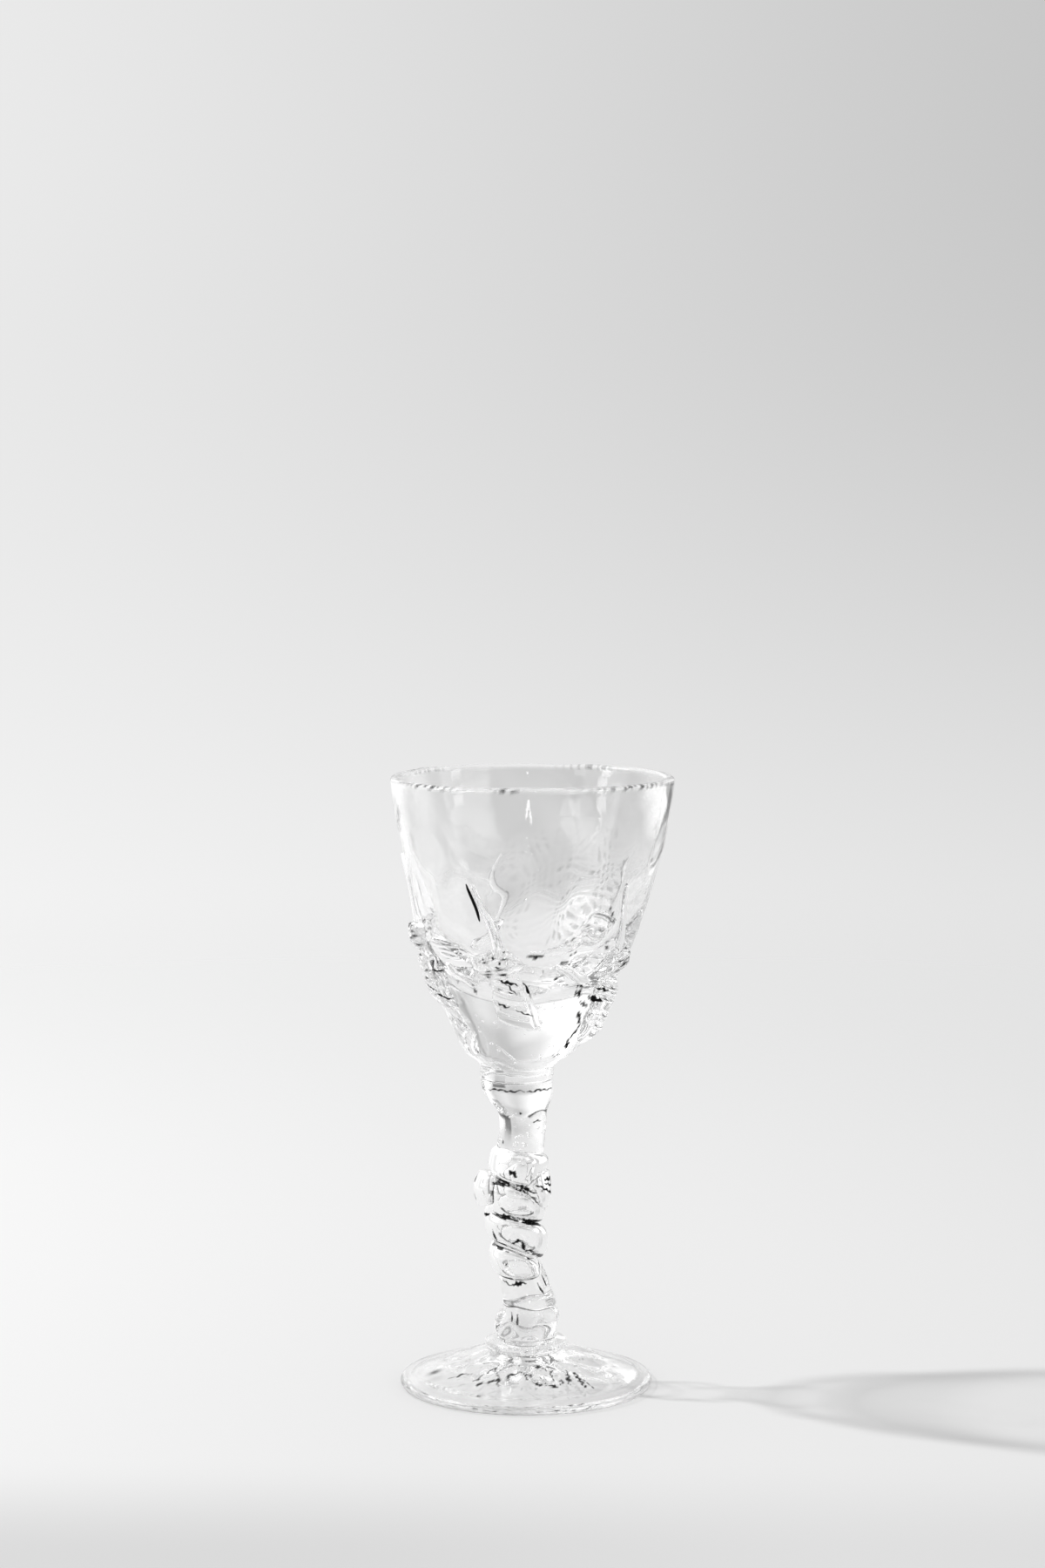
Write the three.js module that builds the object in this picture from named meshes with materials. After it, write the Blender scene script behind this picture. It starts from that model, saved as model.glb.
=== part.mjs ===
// Footed drinking glass with a gnarled vine-stock stem and leaves round its bowl.
// Millimetres, +Z up. The origin is on the table, below the middle of the rim.
// Each node is one gather of hot glass, in the order in which a glassmaker adds them.
import * as THREE from "three";

// Foot: a low cone
const footRadius = 32.9;
const footEdge = 2.4;
const footGroove = 0.35;
const footRise = 9.2;
const footShoulder = 12.4;

// Hollow under the foot: a wide shallow cone with a flat middle, inside the standing ring
const hollowRadius = 30;
const hollowRise = 4.8;
const hollowSlope = 0.25;
const hollowSoftness = 1.5;

// Flutes: a star pressed into the hollow round its flat middle
const flutes = 12;
const fluteRadius = 13.5;
const fluteReach = 4.5;
const fluteDepth = 0.9;

// Collar that the stem stands on
const collarRadius = 10.9;
const collarHeight = 3.8;

// Root: the lobed swelling at the bottom of the stem
const rootRadius = 8.2;
const rootHeight = 9;
const rootTuck = 0.7;
const rootLobes = 5;
const rootLobeDepth = 0.9;
const rootLobeAngle = -110;

// Stem core
const stemRadius = 5.9;
const stemHeight = 50;
const stemFlare = { bottom: 1.1, top: 0.5 };
const stemLobeDepth = 0.35;
const stemLobes = 3;
const stemLobeTurns = 0.8;

// Vine: one flat band wound round the core, thickest near its head
const vineTurns = 3.5;
const vineTail = 3.75;
const vineHead = 5.75;
const vineStartAngle = -40;
const vineSwellHead = 2.3;
const vineSwellTail = 1.6;
const turnGap = 0.6;

// Knuckles: lumps pressed on the vine's upper turns
const knuckleHeight = 9;
const knuckleWidth = 10;
const knuckleSwell = 2;
const knuckleDrop = 18.5;
const knuckleAngles = { left: -172, right: -14, back: 84 };
const knuckleLeanAngle = -20;

// Neck that carries the bowl
const neckRadius = 9.4;
const neckHeight = 10;
const neckTuck = 0.5;

// Bowl: a thick solid base under a round-bottomed cavity
const rimRadius = 37;
const bowlHeight = 78;
const bowlBaseRadius = 9.6;
const bowlBaseHeight = 2;
const bowlFillet = { from: 1, to: 6.5 };
const wall = 2;
const cavityDepth = 56;
const bowlFullness = { high: 1.3, low: 0.65 };
const cavityFullness = { high: 2.1, low: 0.48 };

// Leaves: slanting ribbed pads round the thick base of the bowl. Each has its direction, the
// angle through which it leans, the height of its foot above the bowl's base, and its size.
const leafAngles = { front: -98, right: -24, back_right: 50, back_left: 122, left: -160 };
const leafLeanAngles = { front: 20, right: 14, back_right: 20, back_left: 18, left: 8 };
const leafFeet = { front: 14.6, right: 9.4, back_right: 15, back_left: 13.6, left: 19.2 };
const leafHeights = { front: 14.4, right: 17.2, back_right: 14, back_left: 14.8, left: 14.6 };
const leafWidth = 13.6;
const leafSwell = 2.9;
const leafVeins = 3;
const veinSlope = 0.12;
const leafFallAngle = 12;
const veinRelief = 0.2;
const leafScallop = 0.06;

// Knots: a furrowed twist of glass above each leaf
const knotHeight = 8.5;
const knotWidth = 10.5;
const knotSwell = 3.2;
const knotFurrows = 2;
const furrowRelief = 0.25;

// Stalks: a stem that tapers up from each knot
const stalkHeight = 15;
const stalkWidth = 3.8;
const stalkSwell = 1.5;
const stalkLeanAngle = 9;

// Tendrils: a thin strand on each side of the front leaf, at a height above the bowl's base
const tendrilAngles = { left: -123, right: -73 };
const tendrilTurnAngles = { left: -18, right: 24 };
const tendrilFeet = { left: 25.5, right: 31.5 };
const tendrilClimbs = { left: 6, right: -5 };
const tendrilWidth = 3;
const tendrilSwell = 1.4;

// Clearance under everything that is laid on another gather, and between leaf, knot and stalk
const clearance = 0.3;
const leafGap = 0.5;

// Facets
const bowlSides = 56;
const stemSides = 30;
const stepsPerTurn = 18;
const vineSectionSteps = 6;

// Heights of the joints, each gather standing on the one below
const collarZ = footRise;
const rootZ = collarZ + collarHeight;
const stemZ = rootZ + rootHeight;
const neckZ = stemZ + stemHeight;
const bowlZ = neckZ + neckHeight;
const rimZ = bowlZ + bowlHeight;

// The crooked axis that every piece follows: how far it sways, and which share of that it
// has sideways and forwards at each height
const swayReach = 4.8;
const sway = [
  { z: rootZ, x: -0.31, y: 0 },
  { z: rootZ + rootHeight * 0.7, x: -0.06, y: 0.12 },
  { z: stemZ + stemHeight * 0.27, x: -0.85, y: 0.23 },
  { z: stemZ + stemHeight * 0.6, x: -1, y: -0.19 },
  { z: stemZ + stemHeight * 0.93, x: -0.48, y: 0.08 },
  { z: bowlZ, x: -0.83, y: 0 },
  { z: bowlZ + bowlHeight * 0.18, x: -0.48, y: 0 },
  { z: bowlZ + bowlHeight * 0.72, x: 0, y: 0 },
];

const degrees = THREE.MathUtils.degToRad;
const ease = THREE.MathUtils.smoothstep;
const mix = THREE.MathUtils.lerp;

// The axis's place at a height, eased from one station to the next
function axisAt(z) {
  const next = sway.findIndex((station) => station.z > z);
  const high = sway[next < 0 ? sway.length - 1 : next];
  const low = sway[next < 0 ? sway.length - 1 : Math.max(next - 1, 0)];
  const share = ease(z, low.z, Math.max(high.z, low.z + 1e-6));
  return {
    x: swayReach * mix(low.x, high.x, share),
    y: swayReach * mix(low.y, high.y, share),
  };
}

// A point at an angle and a height, at a radius from the crooked axis
function aroundAxis(angle, z, radius) {
  const centre = axisAt(z);
  return new THREE.Vector3(
    centre.x + radius * Math.cos(angle),
    centre.y + radius * Math.sin(angle),
    z,
  );
}

// The smaller of two numbers, rounded where they cross
function softLeast(a, b, softness) {
  const h = THREE.MathUtils.clamp(0.5 + (b - a) / (2 * softness), 0, 1);
  return mix(b, a, h) - softness * h * (1 - h);
}

// A superellipse's rise from 0 to 1
const swellCurve = (t, { high, low }) =>
  Math.pow(1 - Math.pow(1 - THREE.MathUtils.clamp(t, 0, 1), high), low);

// Outside radius of the bowl, which runs out of its base in a fillet
function bowlRadius(z) {
  const share = (z - bowlZ - bowlBaseHeight) / (bowlHeight - bowlBaseHeight);
  const fillet = ease(z, bowlZ + bowlFillet.from, bowlZ + bowlFillet.to);
  return mix(bowlBaseRadius, rimRadius, swellCurve(share, bowlFullness) * fillet);
}

// Radius of the bowl's cavity, which keeps the wall above and rounds off below
function cavityRadius(z) {
  const share = (z - (rimZ - cavityDepth)) / cavityDepth;
  const bottom = (rimRadius - wall) * swellCurve(share, cavityFullness);
  return Math.max(0, softLeast(bottom, bowlRadius(z) - wall, wall));
}

// Radius of the stem's core, with slow lobes that fade out at its flat ends
function coreRadius(angle, z) {
  const share = (z - stemZ) / stemHeight;
  const flare = Math.pow(Math.abs(2 * share - 1), 4);
  const plain = stemRadius + flare * (share < 0.5 ? stemFlare.bottom : stemFlare.top);
  const fade = Math.sin(Math.PI * THREE.MathUtils.clamp(share, 0, 1));
  const lobe = Math.cos(stemLobes * angle + 2 * Math.PI * stemLobeTurns * share);
  return plain + stemLobeDepth * fade * lobe;
}

// Turns a profile of [radius, height] points, from axis to axis, round the crooked axis.
// reshape, where given, returns a point's radius from its angle, height and radius.
function turned(profile, sides, reshape) {
  const points = profile.map(([radius, z]) => new THREE.Vector2(radius, z));
  const geometry = new THREE.LatheGeometry(points, sides);
  geometry.rotateX(Math.PI / 2);
  const position = geometry.getAttribute("position");
  for (let i = 0; i < position.count; i++) {
    const [x, y, z] = [position.getX(i), position.getY(i), position.getZ(i)];
    const angle = Math.atan2(y, x);
    const radius = Math.hypot(x, y);
    const to = reshape && radius > 0 ? reshape(angle, z, radius) : radius;
    const place = aroundAxis(angle, z, to);
    position.setXYZ(i, place.x, place.y, z);
  }
  return geometry;
}

// Closes equal rings of points, from a first pole to a last one, into one solid
function ringSolid(rings, firstPole, lastPole) {
  const around = rings[0].length;
  const points = [firstPole, ...rings.flat(), lastPole];
  const last = points.length - 1;
  const at = (ring, i) => 1 + ring * around + (i % around);
  const faces = [];
  for (let i = 0; i < around; i++) {
    faces.push(0, at(0, i + 1), at(0, i));
    faces.push(last, at(rings.length - 1, i), at(rings.length - 1, i + 1));
    for (let ring = 1; ring < rings.length; ring++) {
      faces.push(at(ring - 1, i), at(ring - 1, i + 1), at(ring, i));
      faces.push(at(ring, i), at(ring - 1, i + 1), at(ring, i + 1));
    }
  }
  const geometry = new THREE.BufferGeometry().setFromPoints(points);
  return geometry.setIndex(faces);
}

// A pad laid on a round surface. Its spine climbs through a height and an angle from its
// foot, halfWidth is its half width along it, and rise is how far it stands off the surface.
// Its width lies level, or where lie is given that angle away from level.
function pad({ surface, angle, z, turn, climb, lie = 0, halfWidth, rise, rows, columns }) {
  const point = (u, v, height) => {
    const side = v * halfWidth(u);
    const level = z + climb * u - side * Math.sin(lie);
    const under = surface(level);
    const round = angle + turn * u + (side * Math.cos(lie)) / under;
    return aroundAxis(round, level, under + clearance + height);
  };
  const rings = [];
  for (let row = 1; row < rows; row++) {
    const u = row / rows;
    const across = Array.from({ length: columns + 1 }, (_, i) => (2 * i) / columns - 1);
    const top = across.map((v) => point(u, v, rise(u, v)));
    const under = across.slice(1, -1).reverse();
    rings.push([...top, ...under.map((v) => point(u, v, 0))]);
  }
  return ringSolid(rings, point(0, 0, 0), point(1, 0, 0));
}

// A dome over -1 to 1, flatter on top and steeper at its ends the higher the power
const dome = (v, power) => Math.sqrt(1 - Math.pow(Math.abs(v), power));

// Where a leaf's top is: its knot stands above it, and the stalk above the knot
const knotZ = (side) => bowlZ + leafFeet[side] + leafHeights[side] + leafGap;
const spineAngle = (side) => degrees(leafAngles[side] - leafLeanAngles[side] / 2);

// A leaf: a rounded slanting pad with parallel veins and a scalloped edge
function leaf(side) {
  const blunt = (u) => dome(2 * u - 1, 3.2);
  const vein = (u, v) => Math.cos(2 * Math.PI * leafVeins * (u + veinSlope * v));
  return pad({
    surface: bowlRadius,
    angle: degrees(leafAngles[side] + leafLeanAngles[side] / 2),
    z: bowlZ + leafFeet[side],
    turn: -degrees(leafLeanAngles[side]),
    climb: leafHeights[side],
    lie: degrees(leafFallAngle),
    halfWidth: (u) => (leafWidth / 2) * blunt(u) * (1 + leafScallop * vein(u, 1)),
    rise: (u, v) => leafSwell * blunt(u) * dome(v, 2.6) * (1 - veinRelief * vein(u, v)),
    rows: 13,
    columns: 8,
  });
}

// A knot: a lump above the leaf, with slanting furrows where its strands cross
function knot(side) {
  const round = (u) => dome(2 * u - 1, 2.4);
  const furrow = (u, v) => Math.cos(2 * Math.PI * knotFurrows * (u - 0.3 * v));
  return pad({
    surface: bowlRadius,
    angle: spineAngle(side),
    z: knotZ(side),
    turn: 0,
    climb: knotHeight,
    halfWidth: (u) => (knotWidth / 2) * round(u),
    rise: (u, v) => knotSwell * round(u) * dome(v, 2) * (1 - furrowRelief * furrow(u, v)),
    rows: 9,
    columns: 6,
  });
}

// A stalk: it starts where the knot ends and thins as it climbs
function stalk(side) {
  const taper = (u) => dome(2 * u - 1, 4) * mix(1, 0.45, u);
  return pad({
    surface: bowlRadius,
    angle: spineAngle(side),
    z: knotZ(side) + knotHeight + leafGap,
    turn: -degrees(stalkLeanAngle),
    climb: stalkHeight,
    halfWidth: (u) => (stalkWidth / 2) * taper(u),
    rise: (u, v) => stalkSwell * taper(u) * dome(v, 2),
    rows: 8,
    columns: 4,
  });
}

// A tendril: a thin strand that runs nearly level beside the front leaf
function tendril(side) {
  const thin = (u) => dome(2 * u - 1, 4);
  const foot = bowlZ + tendrilFeet[side];
  const along = degrees(tendrilTurnAngles[side]) * bowlRadius(foot);
  return pad({
    surface: bowlRadius,
    angle: degrees(tendrilAngles[side]),
    z: foot,
    turn: degrees(tendrilTurnAngles[side]),
    climb: tendrilClimbs[side],
    lie: Math.atan2(along, tendrilClimbs[side]),
    halfWidth: (u) => (tendrilWidth / 2) * thin(u),
    rise: (u, v) => tendrilSwell * thin(u) * dome(v, 2),
    rows: 8,
    columns: 4,
  });
}

// A knuckle: a lump laid over the vine's upper turns
function knuckle(side) {
  const round = (u) => dome(2 * u - 1, 2.4);
  return pad({
    surface: (z) => vineReach(z),
    angle: degrees(knuckleAngles[side]),
    z: vineTo - knuckleDrop,
    turn: degrees(knuckleLeanAngle),
    climb: knuckleHeight,
    halfWidth: (u) => (knuckleWidth / 2) * round(u),
    rise: (u, v) => knuckleSwell * round(u) * dome(v, 2.6),
    rows: 7,
    columns: 6,
  });
}

// Height of the hollow's surface at a radius
const hollowHeight = (radius) =>
  softLeast(hollowRise, (hollowRadius - radius) * hollowSlope, hollowSoftness);

// Foot: hollow with its star of flutes, flat standing ring, rounded edge, a shallow groove
// inside the edge, cone and the flat under the collar
function foot() {
  const round = footEdge / 2;
  const star = [-1, -0.5, 0, 0.5, 1].map((share) => fluteRadius + fluteReach * share);
  const radii = [0, ...star, (fluteRadius + fluteReach + hollowRadius) / 2, hollowRadius];
  const hollow = radii.map((radius) => [radius, hollowHeight(radius)]);
  const edge = [-90, -45, 0, 45, 80].map((turn) => [
    footRadius - round + round * Math.cos(degrees(turn)),
    round + round * Math.sin(degrees(turn)),
  ]);
  const groove = (share) => footGroove * Math.max(0, 1 - Math.abs(share - 0.12) / 0.08);
  const cone = [0.04, 0.12, 0.2, 0.4, 0.7, 1].map((share) => [
    mix(footRadius - round, footShoulder, share),
    mix(footEdge, footRise, Math.pow(share, 1.1)) - groove(share),
  ]);
  const profile = [...hollow, ...edge, ...cone, [0, footRise]];
  const flute = (angle, z, radius) => {
    const near = Math.max(0, 1 - Math.abs(radius - fluteRadius) / fluteReach);
    const share = z <= hollowRise ? near : 0;
    return radius + fluteDepth * share * Math.cos(flutes * angle);
  };
  return turned(profile, bowlSides, flute);
}

// Collar: a flattened ring with a round edge
function collar() {
  const half = collarHeight / 2;
  const edge = [-60, -30, 0, 30, 60].map((turn) => [
    collarRadius - half + half * Math.cos(degrees(turn)),
    collarZ + half + half * Math.sin(degrees(turn)),
  ]);
  const seat = collarRadius - half;
  return turned(
    [[0, collarZ], [seat, collarZ], ...edge, [seat, rootZ], [0, rootZ]],
    stemSides,
  );
}

// Root: lobes that swell in the middle of its height and meet the stem's round end
function root() {
  const top = coreRadius(0, stemZ);
  const shares = [0, 0.15, 0.35, 0.55, 0.75, 0.9, 1];
  const sides = shares.map((share) => [
    mix(rootRadius, top, ease(share, 0.2, 1)) - rootTuck * Math.pow(1 - share, 8),
    mix(rootZ, stemZ, share),
  ]);
  const lobed = (angle, z, radius) => {
    const share = (z - rootZ) / rootHeight;
    const swell = rootLobeDepth * Math.sin(Math.PI * Math.min(Math.max(share, 0), 1));
    return radius > stemRadius / 2
      ? radius + swell * Math.cos(rootLobes * (angle - degrees(rootLobeAngle)))
      : radius;
  };
  return turned([[0, rootZ], ...sides, [0, stemZ]], stemSides, lobed);
}

// Stem core between its two flat ends
function stem() {
  const rows = 22;
  const sides = Array.from({ length: rows + 1 }, (_, i) => [
    stemRadius,
    mix(stemZ, neckZ, i / rows),
  ]);
  return turned([[0, stemZ], ...sides, [0, neckZ]], stemSides, (angle, z) =>
    coreRadius(angle, z),
  );
}

// The vine's lowest and highest levels, its pitch and the width of its band
const vineFrom = stemZ + vineTail;
const vineTo = neckZ - vineHead;
const vinePitch = (vineTo - vineFrom) / (vineTurns + 1);
const vineBand = vinePitch - turnGap;

// How thick the vine is at a share of its length, and how far out it reaches at a height
const vineSwell = (u) => mix(vineSwellTail, vineSwellHead, ease(u, 0, 0.7));
const vineReach = () => stemRadius + stemLobeDepth + clearance + vineSwellHead;

// Vine: a flat band on the core, down to the right in front, with pointed ends
function vine() {
  const steps = Math.round(vineTurns * stepsPerTurn);
  const start = vineFrom + vinePitch / 2;
  const point = (u, across, height) => {
    const level = start + vinePitch * vineTurns * u + (across * vineBand) / 2;
    const angle = degrees(vineStartAngle) - 2 * Math.PI * vineTurns * u;
    return aroundAxis(angle, level, coreRadius(angle, level) + clearance + height);
  };
  const rings = [];
  for (let step = 1; step < steps; step++) {
    const u = step / steps;
    const ends = dome(2 * u - 1, 9);
    const swell = vineSwell(u) * ends;
    const across = Array.from(
      { length: vineSectionSteps + 1 },
      (_, i) => (2 * i) / vineSectionSteps - 1,
    );
    const outside = across.map((v) => point(u, v * ends, swell * dome(v, 4)));
    const inside = across.slice(1, -1).reverse();
    rings.push([...outside, ...inside.map((v) => point(u, v * ends, 0))]);
  }
  return ringSolid(rings, point(0, 0, 0), point(1, 0, 0));
}

// Neck: a trumpet from the stem's end to the bowl's base, with a bead under the bowl
function neck() {
  const foot = coreRadius(0, neckZ);
  const shares = [0, 0.15, 0.3, 0.45, 0.6, 0.75, 0.9, 1];
  const sides = shares.map((share) => [
    mix(foot, neckRadius, ease(share, 0, 0.85)) - neckTuck * Math.pow(share, 12),
    mix(neckZ, bowlZ, share),
  ]);
  return turned([[0, neckZ], ...sides, [0, bowlZ]], stemSides);
}

// Bowl: up the outside, over the round rim and down the cavity to its middle
function bowl() {
  const outsideRows = 20;
  const cavityRows = 15;
  const lip = wall / 2;
  const closer = (share) => Math.pow(share, 1.25);
  const outside = Array.from({ length: outsideRows + 1 }, (_, i) => {
    const z = mix(bowlZ, rimZ - lip, closer(i / outsideRows));
    return [bowlRadius(z), z];
  });
  const middle = (bowlRadius(rimZ - lip) + cavityRadius(rimZ - lip)) / 2;
  const half = middle - cavityRadius(rimZ - lip);
  const rim = [30, 65, 90, 115, 150].map((turn) => [
    middle + half * Math.cos(degrees(turn)),
    rimZ - lip + lip * Math.sin(degrees(turn)),
  ]);
  const cavity = Array.from({ length: cavityRows }, (_, i) => {
    const share = 1 - i / cavityRows;
    const z = mix(rimZ - cavityDepth, rimZ - lip, share * share);
    return [cavityRadius(z), z];
  });
  const profile = [[0, bowlZ], ...outside, ...rim, ...cavity];
  return turned([...profile, [0, rimZ - cavityDepth]], bowlSides);
}

// The least gap between one turn of the vine and the next, measured on its points
function leastTurnGap(geometry) {
  const position = geometry.getAttribute("position");
  const around = 2 * vineSectionSteps;
  const perTurn = stepsPerTurn * around;
  let least = Infinity;
  for (let i = 1; i + perTurn < position.count; i++) {
    const here = new THREE.Vector3().fromBufferAttribute(position, i);
    for (let k = -around; k <= around; k++) {
      const j = i + perTurn + k;
      if (j >= position.count) continue;
      const there = new THREE.Vector3().fromBufferAttribute(position, j);
      least = Math.min(least, here.distanceTo(there));
    }
  }
  return least;
}

const glass = () =>
  new THREE.MeshStandardMaterial({
    color: 0xf4f7f7,
    roughness: 0.03,
    metalness: 0,
    transparent: true,
    opacity: 0.35,
  });

const goblet = new THREE.Group();
function add(name, geometry) {
  const mesh = new THREE.Mesh(geometry, glass());
  mesh.name = name;
  goblet.add(mesh);
}

add("foot", foot());
add("foot_collar", collar());
add("stem_root", root());
add("stem_core", stem());
const vineGeometry = vine();
add("stem_vine", vineGeometry);
add("neck", neck());
add("bowl", bowl());
for (const side of Object.keys(knuckleAngles)) add("knuckle_" + side, knuckle(side));
for (const side of Object.keys(leafAngles)) {
  add("leaf_" + side, leaf(side));
  add("knot_" + side, knot(side));
  add("stalk_" + side, stalk(side));
}
for (const side of Object.keys(tendrilAngles)) add("tendril_" + side, tendril(side));
console.log("least gap between the vine's turns", leastTurnGap(vineGeometry).toFixed(2));

export default goblet;
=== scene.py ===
"""Dresses a hot-worked footed cocktail glass: conical foot, vine-stock stem and a leafed bowl.

Shapes are worked out in millimetres as (angle, radius, height) round a crooked axis, and go
into the meshes in metres. Every gather of glass is its own closed piece. Where two gathers
are fused, each one's skin stops showing inside the other, so light meets one body of glass.
"""
import math

import bpy
import numpy as np
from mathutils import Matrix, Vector


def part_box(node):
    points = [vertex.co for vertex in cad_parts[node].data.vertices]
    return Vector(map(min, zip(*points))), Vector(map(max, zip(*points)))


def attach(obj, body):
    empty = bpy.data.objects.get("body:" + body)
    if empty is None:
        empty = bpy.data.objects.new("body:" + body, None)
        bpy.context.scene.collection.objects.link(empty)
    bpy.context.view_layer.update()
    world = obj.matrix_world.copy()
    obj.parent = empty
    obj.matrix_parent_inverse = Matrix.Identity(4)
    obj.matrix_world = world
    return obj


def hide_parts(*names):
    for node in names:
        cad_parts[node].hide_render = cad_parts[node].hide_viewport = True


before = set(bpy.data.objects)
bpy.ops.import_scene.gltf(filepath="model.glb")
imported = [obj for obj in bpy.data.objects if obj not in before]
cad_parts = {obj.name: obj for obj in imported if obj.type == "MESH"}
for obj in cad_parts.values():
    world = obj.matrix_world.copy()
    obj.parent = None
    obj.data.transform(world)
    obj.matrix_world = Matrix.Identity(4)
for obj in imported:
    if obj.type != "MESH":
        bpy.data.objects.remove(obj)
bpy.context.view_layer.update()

MM = 0.001


# Sizes from the frame, in millimetres
def low_mm(node, axis=2):
    """The low side of a solid's box along an axis, which is the height where none is given."""
    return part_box(node)[0][axis] / MM


def high_mm(node, axis=2):
    """The high side of a solid's box along an axis."""
    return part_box(node)[1][axis] / MM


def radius_mm(node):
    """Half of a round solid's width."""
    return (high_mm(node, 0) - low_mm(node, 0)) / 2


FOOT_RISE = high_mm("foot")
FOOT_RADIUS = radius_mm("foot")
COLLAR_RADIUS = radius_mm("foot_collar")
ROOT_Z = low_mm("stem_root")
STEM_Z = low_mm("stem_core")
NECK_Z = low_mm("neck")
BOWL_Z = low_mm("bowl")
RIM_Z = high_mm("bowl")
RIM_RADIUS = radius_mm("bowl")

# The crooked axis: height, x and y of its stations
SWAY = np.array([
    (ROOT_Z, -1.5, 0.0),
    (ROOT_Z + 6.3, -0.3, 0.6),
    (STEM_Z + 13.5, -4.1, 1.1),
    (STEM_Z + 30.0, -4.8, -0.9),
    (STEM_Z + 46.5, -2.3, 0.4),
    (BOWL_Z, -4.0, 0.0),
    (BOWL_Z + 14.04, -2.3, 0.0),
    (BOWL_Z + 56.16, 0.0, 0.0),
])

# The photograph's view: its size in pixels, and a lens of 81 mm on a 36 mm frame, which is its
# height, 0.91 m away, 0.24 m up and dipped
PHOTO_WIDE, PHOTO_HIGH = 1200, 1800
FRAME_WIDTH = 36
LENS = 81.3
CAMERA_PLACE = (-0.0025, -0.9091, 0.2434)
CAMERA_DIP = 5.393

# Foot: the radius of its round edge, where its cone starts there and ends at the collar, and
# a shallow dip round the cone just inside the edge
EDGE_RADIUS = 1.2
CONE_START = FOOT_RADIUS - EDGE_RADIUS
CONE_END = 12.4
CONE_POWER = 1.1
DIP_DEPTH = 0.2
DIP_RADIUS = FOOT_RADIUS - 3.6
DIP_REACH = 1.1

# Under the collar the foot closes in two steps: the radius and the height of their ends
THROAT = [
    (CONE_END, FOOT_RISE - 0.05), (CONE_END - 5, FOOT_RISE + 0.85), (CONE_END - 11, FOOT_RISE + 0.95),
]

# Hollow under the foot: its radius, its rise in the middle, the slope of its side, and the
# ring of flutes pressed into it
HOLLOW_RADIUS = 30.4
HOLLOW_RISE = 4.8
HOLLOW_SLOPE = 0.25
FLUTES = 12
FLUTE_RADIUS = 14.5
FLUTE_REACH = 5.5
FLUTE_DEPTH = 0.6

# Stem: the radii of its root, core and neck, and how deep a laid-on piece sinks in
ROOT_RADIUS = 8.2
STEM_RADIUS = 5.9
ROOT_TOP_RADIUS = STEM_RADIUS + 1.2
NECK_RADIUS = STEM_RADIUS - 0.3
NECK_FLARE = 3.6
VINE_SINK = 0.9
PAD_SINK = 0.9

# Lobes of the root and the core: how many, how high, the root's turn and its torn edge's rise
# and round part, and the core's twist in turns and how much it widens at its two ends
ROOT_LOBES = 5
ROOT_LOBE_HEIGHT = 0.8
ROOT_LOBE_TURN = math.radians(-110)
ROOT_EDGE_RISE = 2.2
ROOT_EDGE_ROUND = 4.5
CORE_LOBES = 3
CORE_LOBE_HEIGHT = 0.35
CORE_TWIST = 0.8
CORE_FLARES = (1.1, 0.5)

# Bowl: its wall, how far its rim sags on average, the cup's depth, the radius where it leaves
# the neck, how high it is straight there and how long it takes to swell, and the powers of the
# superellipses it follows outside and in the cup
WALL = 2.0
RIM_DROP = 0.2
CAVITY_DEPTH = 56.0
CAVITY_Z = RIM_Z - CAVITY_DEPTH
BASE_RADIUS = 9.6
BASE_STRAIGHT = 2
BASE_FILLET = 5.5
OUTSIDE_POWERS = (1.3, 0.65)
CAVITY_POWERS = (2.1, 0.48)

# Fine wrinkles in the cup: their middle direction, how far they reach round it in radians,
# the heights between which they lie, and how deep they are
LACE_MIDDLE = math.radians(54)
LACE_REACH = 0.7
LACE_LOW = CAVITY_Z + 2
LACE_HIGH = RIM_Z - 12
LACE_HEIGHT = 0.18

# Ends of the turned pieces inside their neighbours: the low end, the high end, and how long
# the round part is at each. The bowl has only a low end
COLLAR_ENDS = (FOOT_RISE - 1.4, ROOT_Z + 0.7, 2.9, 2.5)
ROOT_ENDS = (ROOT_Z - 1.2, STEM_Z + 2.9, 1.6, 2.2)
CORE_ENDS = (STEM_Z - 2.5, NECK_Z + 2.5, 2, 2)
NECK_ENDS = (NECK_Z - 3.2, BOWL_Z + 0.2, 0.2, 1.6)
BOWL_START = BOWL_Z - 2.4
BOWL_ROUND = 1.6

# Unevenness left by hand: its height, in mm where nothing else is said, the seed of its draw, how
# many waves run round, and its pitch of height in mm. The hollow's is a share of its flutes' depth,
# the rim's a share of its drop, and the last two only say where there is painted shade
UNEVEN = {
    "bowl_slow": (0.2, 3, (1, 2, 3, 4), 60),
    "bowl_quick": (0.05, 4, (5, 7, 9, 11, 14), 26),
    "cup_folds": (0.2, 8, (2, 3, 5), 50),
    "cup_narrow_folds": (0.11, 9, (6, 8, 11), 40),
    "cup_ripples": (0.04, 10, (13, 17, 22), 14),
    "collar": (0.15, 21, (2, 3, 5), 9),
    "root": (0.2, 22, (2, 3, 4), 12),
    "root_edge": (0.5, 23, (1, 2, 3), 9),
    "core": (0.14, 24, (1, 2, 4, 5), 14),
    "neck": (0.2, 25, (2, 3, 5), 9),
    "rim": (0.4, 31, (2, 3, 5, 9, 14), 50),
    "hollow": (0.45, 51, (3, 5, 7, 17), 9),
    "cone_slow": (0.1, 52, (1, 2, 3, 5), 30),
    "cone_quick": (0.035, 53, (17, 23, 29), 6),
    "beads": (1.0, 62, (47, 71, 97, 113), 2.5),
    "flecks": (1.0, 71, (7, 12, 19), 8),
}

# Rows of points on a round end, and how many places are compared with a strand at a time
ROUND_ROWS = 14
BATCH = 4000


# Plain curves
def ease(t):
    """Smooth step: 3 t^2 - 2 t^3 over 0 to 1."""
    t = np.clip(t, 0, 1)
    return t * t * (3 - 2 * t)


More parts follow.
